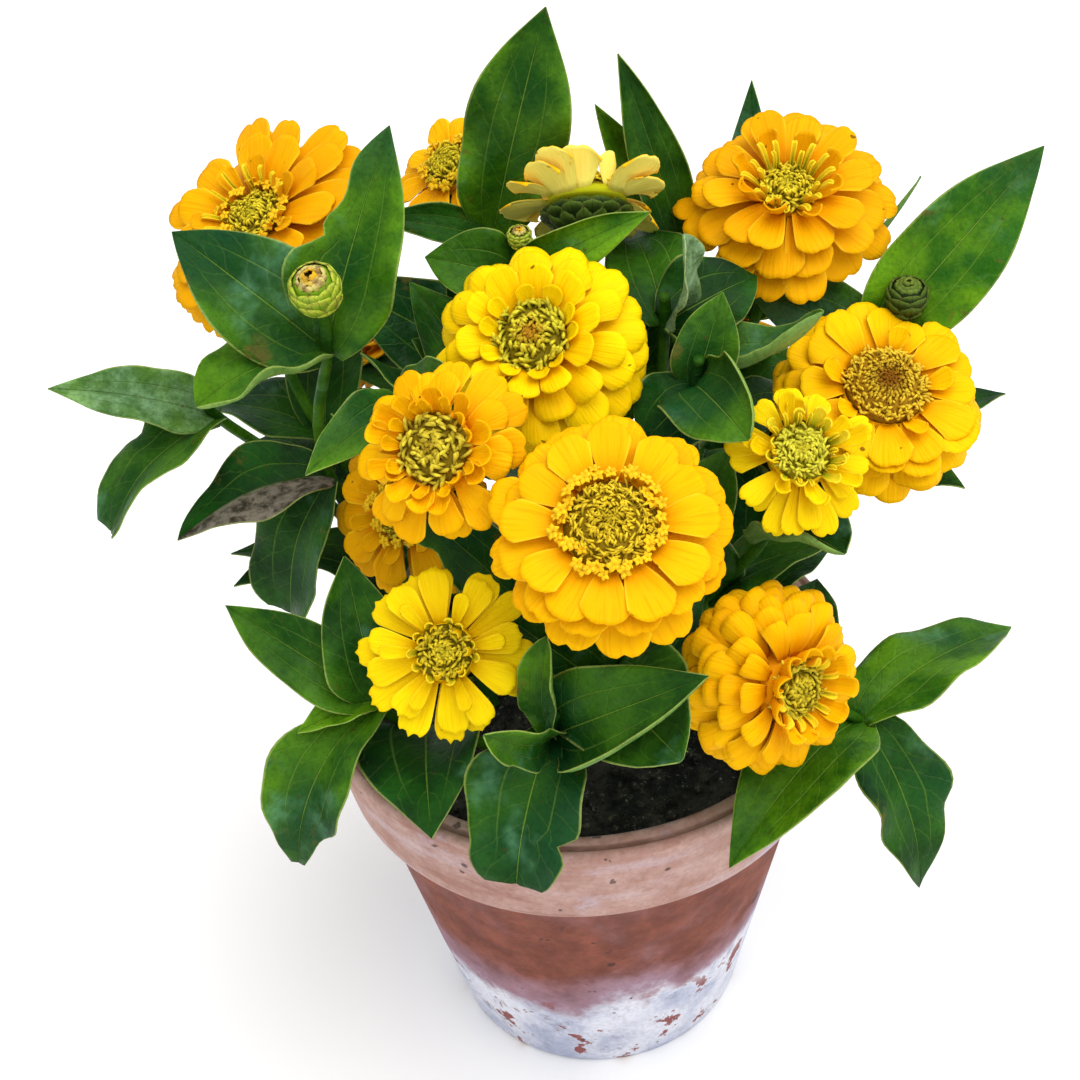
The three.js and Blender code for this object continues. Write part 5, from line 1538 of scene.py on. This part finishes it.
# The blooms' looks, by shoot.
LOOKS = {
    0: look(
        *ORANGE_GOLD,
        rings(LOBED, [0, 12, 1.22, 0.9, -6], [0.3, 12, 1.1, 0.95])
        + rings(FLAT, [0.6, 11, 1, 0.95], [1, 10, 0.84, 0.9, 4])
        + rings(SCOOP, [1, 7, 0.5, 0.45, 20])
        + rings(TUBE, [1.1, 13, 0.4, 0.18, 42], young=True),
        raised=6, stars=24, disc_wide=0.7,
    ),
    1: look(*GOLD, DAISY, stars=16),
    2: look(
        *GOLD,
        rings(LOBED, [0, 9, 1, 1.25], [0.5, 9, 0.9, 1.2])
        + rings(SCOOP, [1, 9, 0.7, 0.8, 20]),
        below=(255, 240, 112), under=1.0, core=YOUNG, slot="petal_yellow", loose=1.8, raised=58, drooped=26,
    ),
    3: look(
        *ORANGE_GOLD,
        rings(LOBED, [0, 13, 1, 0.95])
        + rings(FLAT, [0.5, 12, 0.94, 1], [1, 10, 0.82, 0.9, 5])
        + rings(HOODED, [1, 8, 0.5, 0.5, 22])
        + rings(TUBE, [1.1, 14, 0.42, 0.2, 46], [1.1, 8, 0.3, 0.18, 66], young=True),
        under=0.3, drooped=8, disc_wide=0.75,
    ),
    4: look(
        *YELLOW,
        rings(
            DOMED, [0, 13, 1, 0.85], [0.6, 13, 1, 0.85], [1.2, 13, 1, 0.88], [1.8, 12, 1, 0.9],
            [2.4, 11, 0.94, 0.9],
        )
        + rings(FLAT, [3, 10, 0.86, 0.94])
        + rings(SCOOP, [3, 10, 0.5, 0.56, 16]),
        slot="petal_yellow", loose=0.6, florets=230, curl=(4.4, 0.5, 115), disc_wide=0.95,
        disc_root=(120, 112, 16), disc_centre=(190, 136, 26), disc_tip=(232, 222, 54),
    ),
    5: look(
        *LIGHT_GOLD,
        rings(DOMED, [0, 15, 1, 1.0], [0.35, 14, 0.96, 1.0])
        + rings(FLAT, [0.7, 13, 0.92, 1.0], [1, 12, 0.84, 0.95, 6])
        + rings(SCOOP, [1.1, 5, 0.5, 0.56, 30]),
        florets=480, curl=(3.4, 0.4, 80), middle=0.5, disc_wide=0.84, disc_high=1.2,
        disc_root=(168, 124, 18), disc_centre=(136, 84, 14), disc_tip=(238, 204, 52),
    ),
    6: look(
        *LEMON,
        rings(LOBED, [0, 10, 1.12, 0.84], [0.4, 9, 0.96, 0.7])
        + rings(HOODED, [0.8, 10, 0.8, 0.5, 14])
        + rings(HOODED, [1, 12, 0.56, 0.36, 32], young=True)
        + rings(TUBE, [1.1, 12, 0.42, 0.24, 56], young=True),
        slot="petal_lemon", loose=3.0, disc_wide=0.6, disc_root=(160, 154, 20), disc_tip=(232, 226, 70),
    ),
    7: look(
        *GOLD,
        rings(LOBED, [0, 11, 1.04, 0.92])
        + rings(DOMED, [0.5, 11, 0.86, 0.9])
        + rings(HOODED, [1, 12, 0.62, 0.64, 12], [1.1, 13, 0.42, 0.42, 34]),
        loose=1.6, florets=170, curl=(4.6, 0.52, 130), disc_wide=0.75, disc_root=(126, 106, 14),
        disc_centre=(162, 134, 26), disc_tip=(238, 220, 62),
    ),
    8: look(*ORANGE_GOLD, DAISY + rings(SCOOP, [1, 9, 0.5, 0.5, 16]), stars=20),
    9: look(
        *GOLD,
        rings(LOBED, [0, 13, 1, 1.0], [0.5, 12, 0.95, 1.02])
        + rings(FLAT, [1, 12, 0.9, 0.94, 3]),
        florets=460, curl=(3.8, 0.34, 105), stars=46, disc_wide=0.74, disc_high=1.2,
        disc_root=(140, 112, 12), disc_centre=(206, 178, 32), disc_tip=(248, 216, 46),
    ),
    10: look(
        *LEMON,
        rings(THREE_LOBED, [0, 12, 1.05, 0.84], [0.5, 10, 0.98, 0.84])
        + rings(SCOOP, [1, 6, 0.72, 0.42, 12])
        + rings(HOODED, [1.1, 11, 0.42, 0.26, 50], [1.1, 7, 0.3, 0.24, 70], young=True),
        slot="petal_lemon", florets=200, disc_wide=0.62,
    ),
    11: look(
        *GOLD,
        rings(
            PUFFED, [0, 13, 0.94, 0.76], [0.4, 14, 0.94, 0.74], [0.8, 14, 0.94, 0.72],
            [1.2, 14, 0.94, 0.72], [1.6, 13, 0.94, 0.7], [2, 13, 0.9, 0.7],
        )
        + rings(DOMED, [2.5, 11, 0.86, 0.7])
        + rings(HOODED, [3, 11, 0.72, 0.7, 8])
        + rings(TUBE, [3, 12, 0.46, 0.34, 26], young=True),
        loose=0.8, curl=(4.2, 0.44, 115), disc_centre=(186, 168, 30), disc_tip=(230, 212, 54),
    ),
    20: look(*GOLD, DOUBLE, stars=12),
    21: look(*ORANGE_GOLD, DOUBLE, stars=12),
}


# The camera, fitted to the pot in the photograph.
CAMERA_PLACE = (-9.1, -404.1, 505.5)
CAMERA_PITCH = 38.6
CAMERA_ROLL = -4.6
CAMERA_LENS = 60.0


def stand(name, data, place, *axes):
    """Puts an object into the scene at a place in metres, turned to three axes."""
    thing = bpy.data.objects.new(name, data)
    matrix = Matrix(np.stack(axes, -1).tolist()).to_4x4()
    matrix.translation = place
    thing.matrix_world = matrix
    bpy.context.scene.collection.objects.link(thing)
    return thing


def make_camera():
    pitch, roll = math.radians(CAMERA_PITCH), math.radians(CAMERA_ROLL)
    ahead = vec([0, math.cos(pitch), -math.sin(pitch)])
    right = vec([1, 0, 0])
    up = np.cross(right, ahead)
    side = right * math.cos(roll) + up * math.sin(roll)
    top = -right * math.sin(roll) + up * math.cos(roll)
    data = bpy.data.cameras.new("camera")
    data.lens = CAMERA_LENS
    data.sensor_width = 36.0
    data.clip_end = 50.0
    place = [c * MM for c in CAMERA_PLACE]
    bpy.context.scene.camera = stand("camera", data, place, side, top, -ahead)


def make_light(name, place, size, power, colour):
    """A soft square light that looks at the plant."""
    data = bpy.data.lights.new(name, "AREA")
    data.shape = "SQUARE"
    data.size = size
    data.energy = power
    data.color = colour
    back = unit(vec(place) - vec([0, 0, 0.15]))
    side = unit(np.cross([0.01, 0.02, 1.0], back))
    stand(name, data, place, side, np.cross(back, side), back)


def make_studio():
    """Pale floor, even pale surroundings, and soft light from above on the right."""
    n = Nodes("floor", 0.9, 0.1)
    pale = n.mix(n.band(n.noise(3, 2), 0.3, 0.7), (0.96, 0.96, 0.96, 1), (0.98, 0.98, 0.98, 1))
    mesh = bpy.data.meshes.new("floor")
    mesh.from_pydata([(-6, -6, 0), (6, -6, 0), (6, 6, 0), (-6, 6, 0)], [], [(0, 1, 2, 3)])
    mesh.materials.append(n.finish(pale))
    floor = bpy.data.objects.new("floor", mesh)
    bpy.context.scene.collection.objects.link(floor)
    world = bpy.data.worlds.new("surroundings")
    world.use_nodes = True
    background = world.node_tree.nodes["Background"]
    background.inputs["Color"].default_value = (1.0, 1.0, 1.0, 1.0)
    background.inputs["Strength"].default_value = 0.84
    bpy.context.scene.world = world
    bpy.context.scene.view_settings.view_transform = "Standard"
    make_light("key", (0.8, -0.5, 2.9), 3.2, 86, (1.0, 0.99, 0.98))


make_camera()
make_studio()
pot_piece()
soil_piece()
for number, shoot in enumerate(SHOOTS):
    leafy_stem_piece(shoot, number)
    if "bloom" in shoot:
        petals_piece(shoot, number, LOOKS[number])
        disc_piece(shoot, number, LOOKS[number])
    if "bud" in shoot:
        bud_tip_piece(shoot, number)
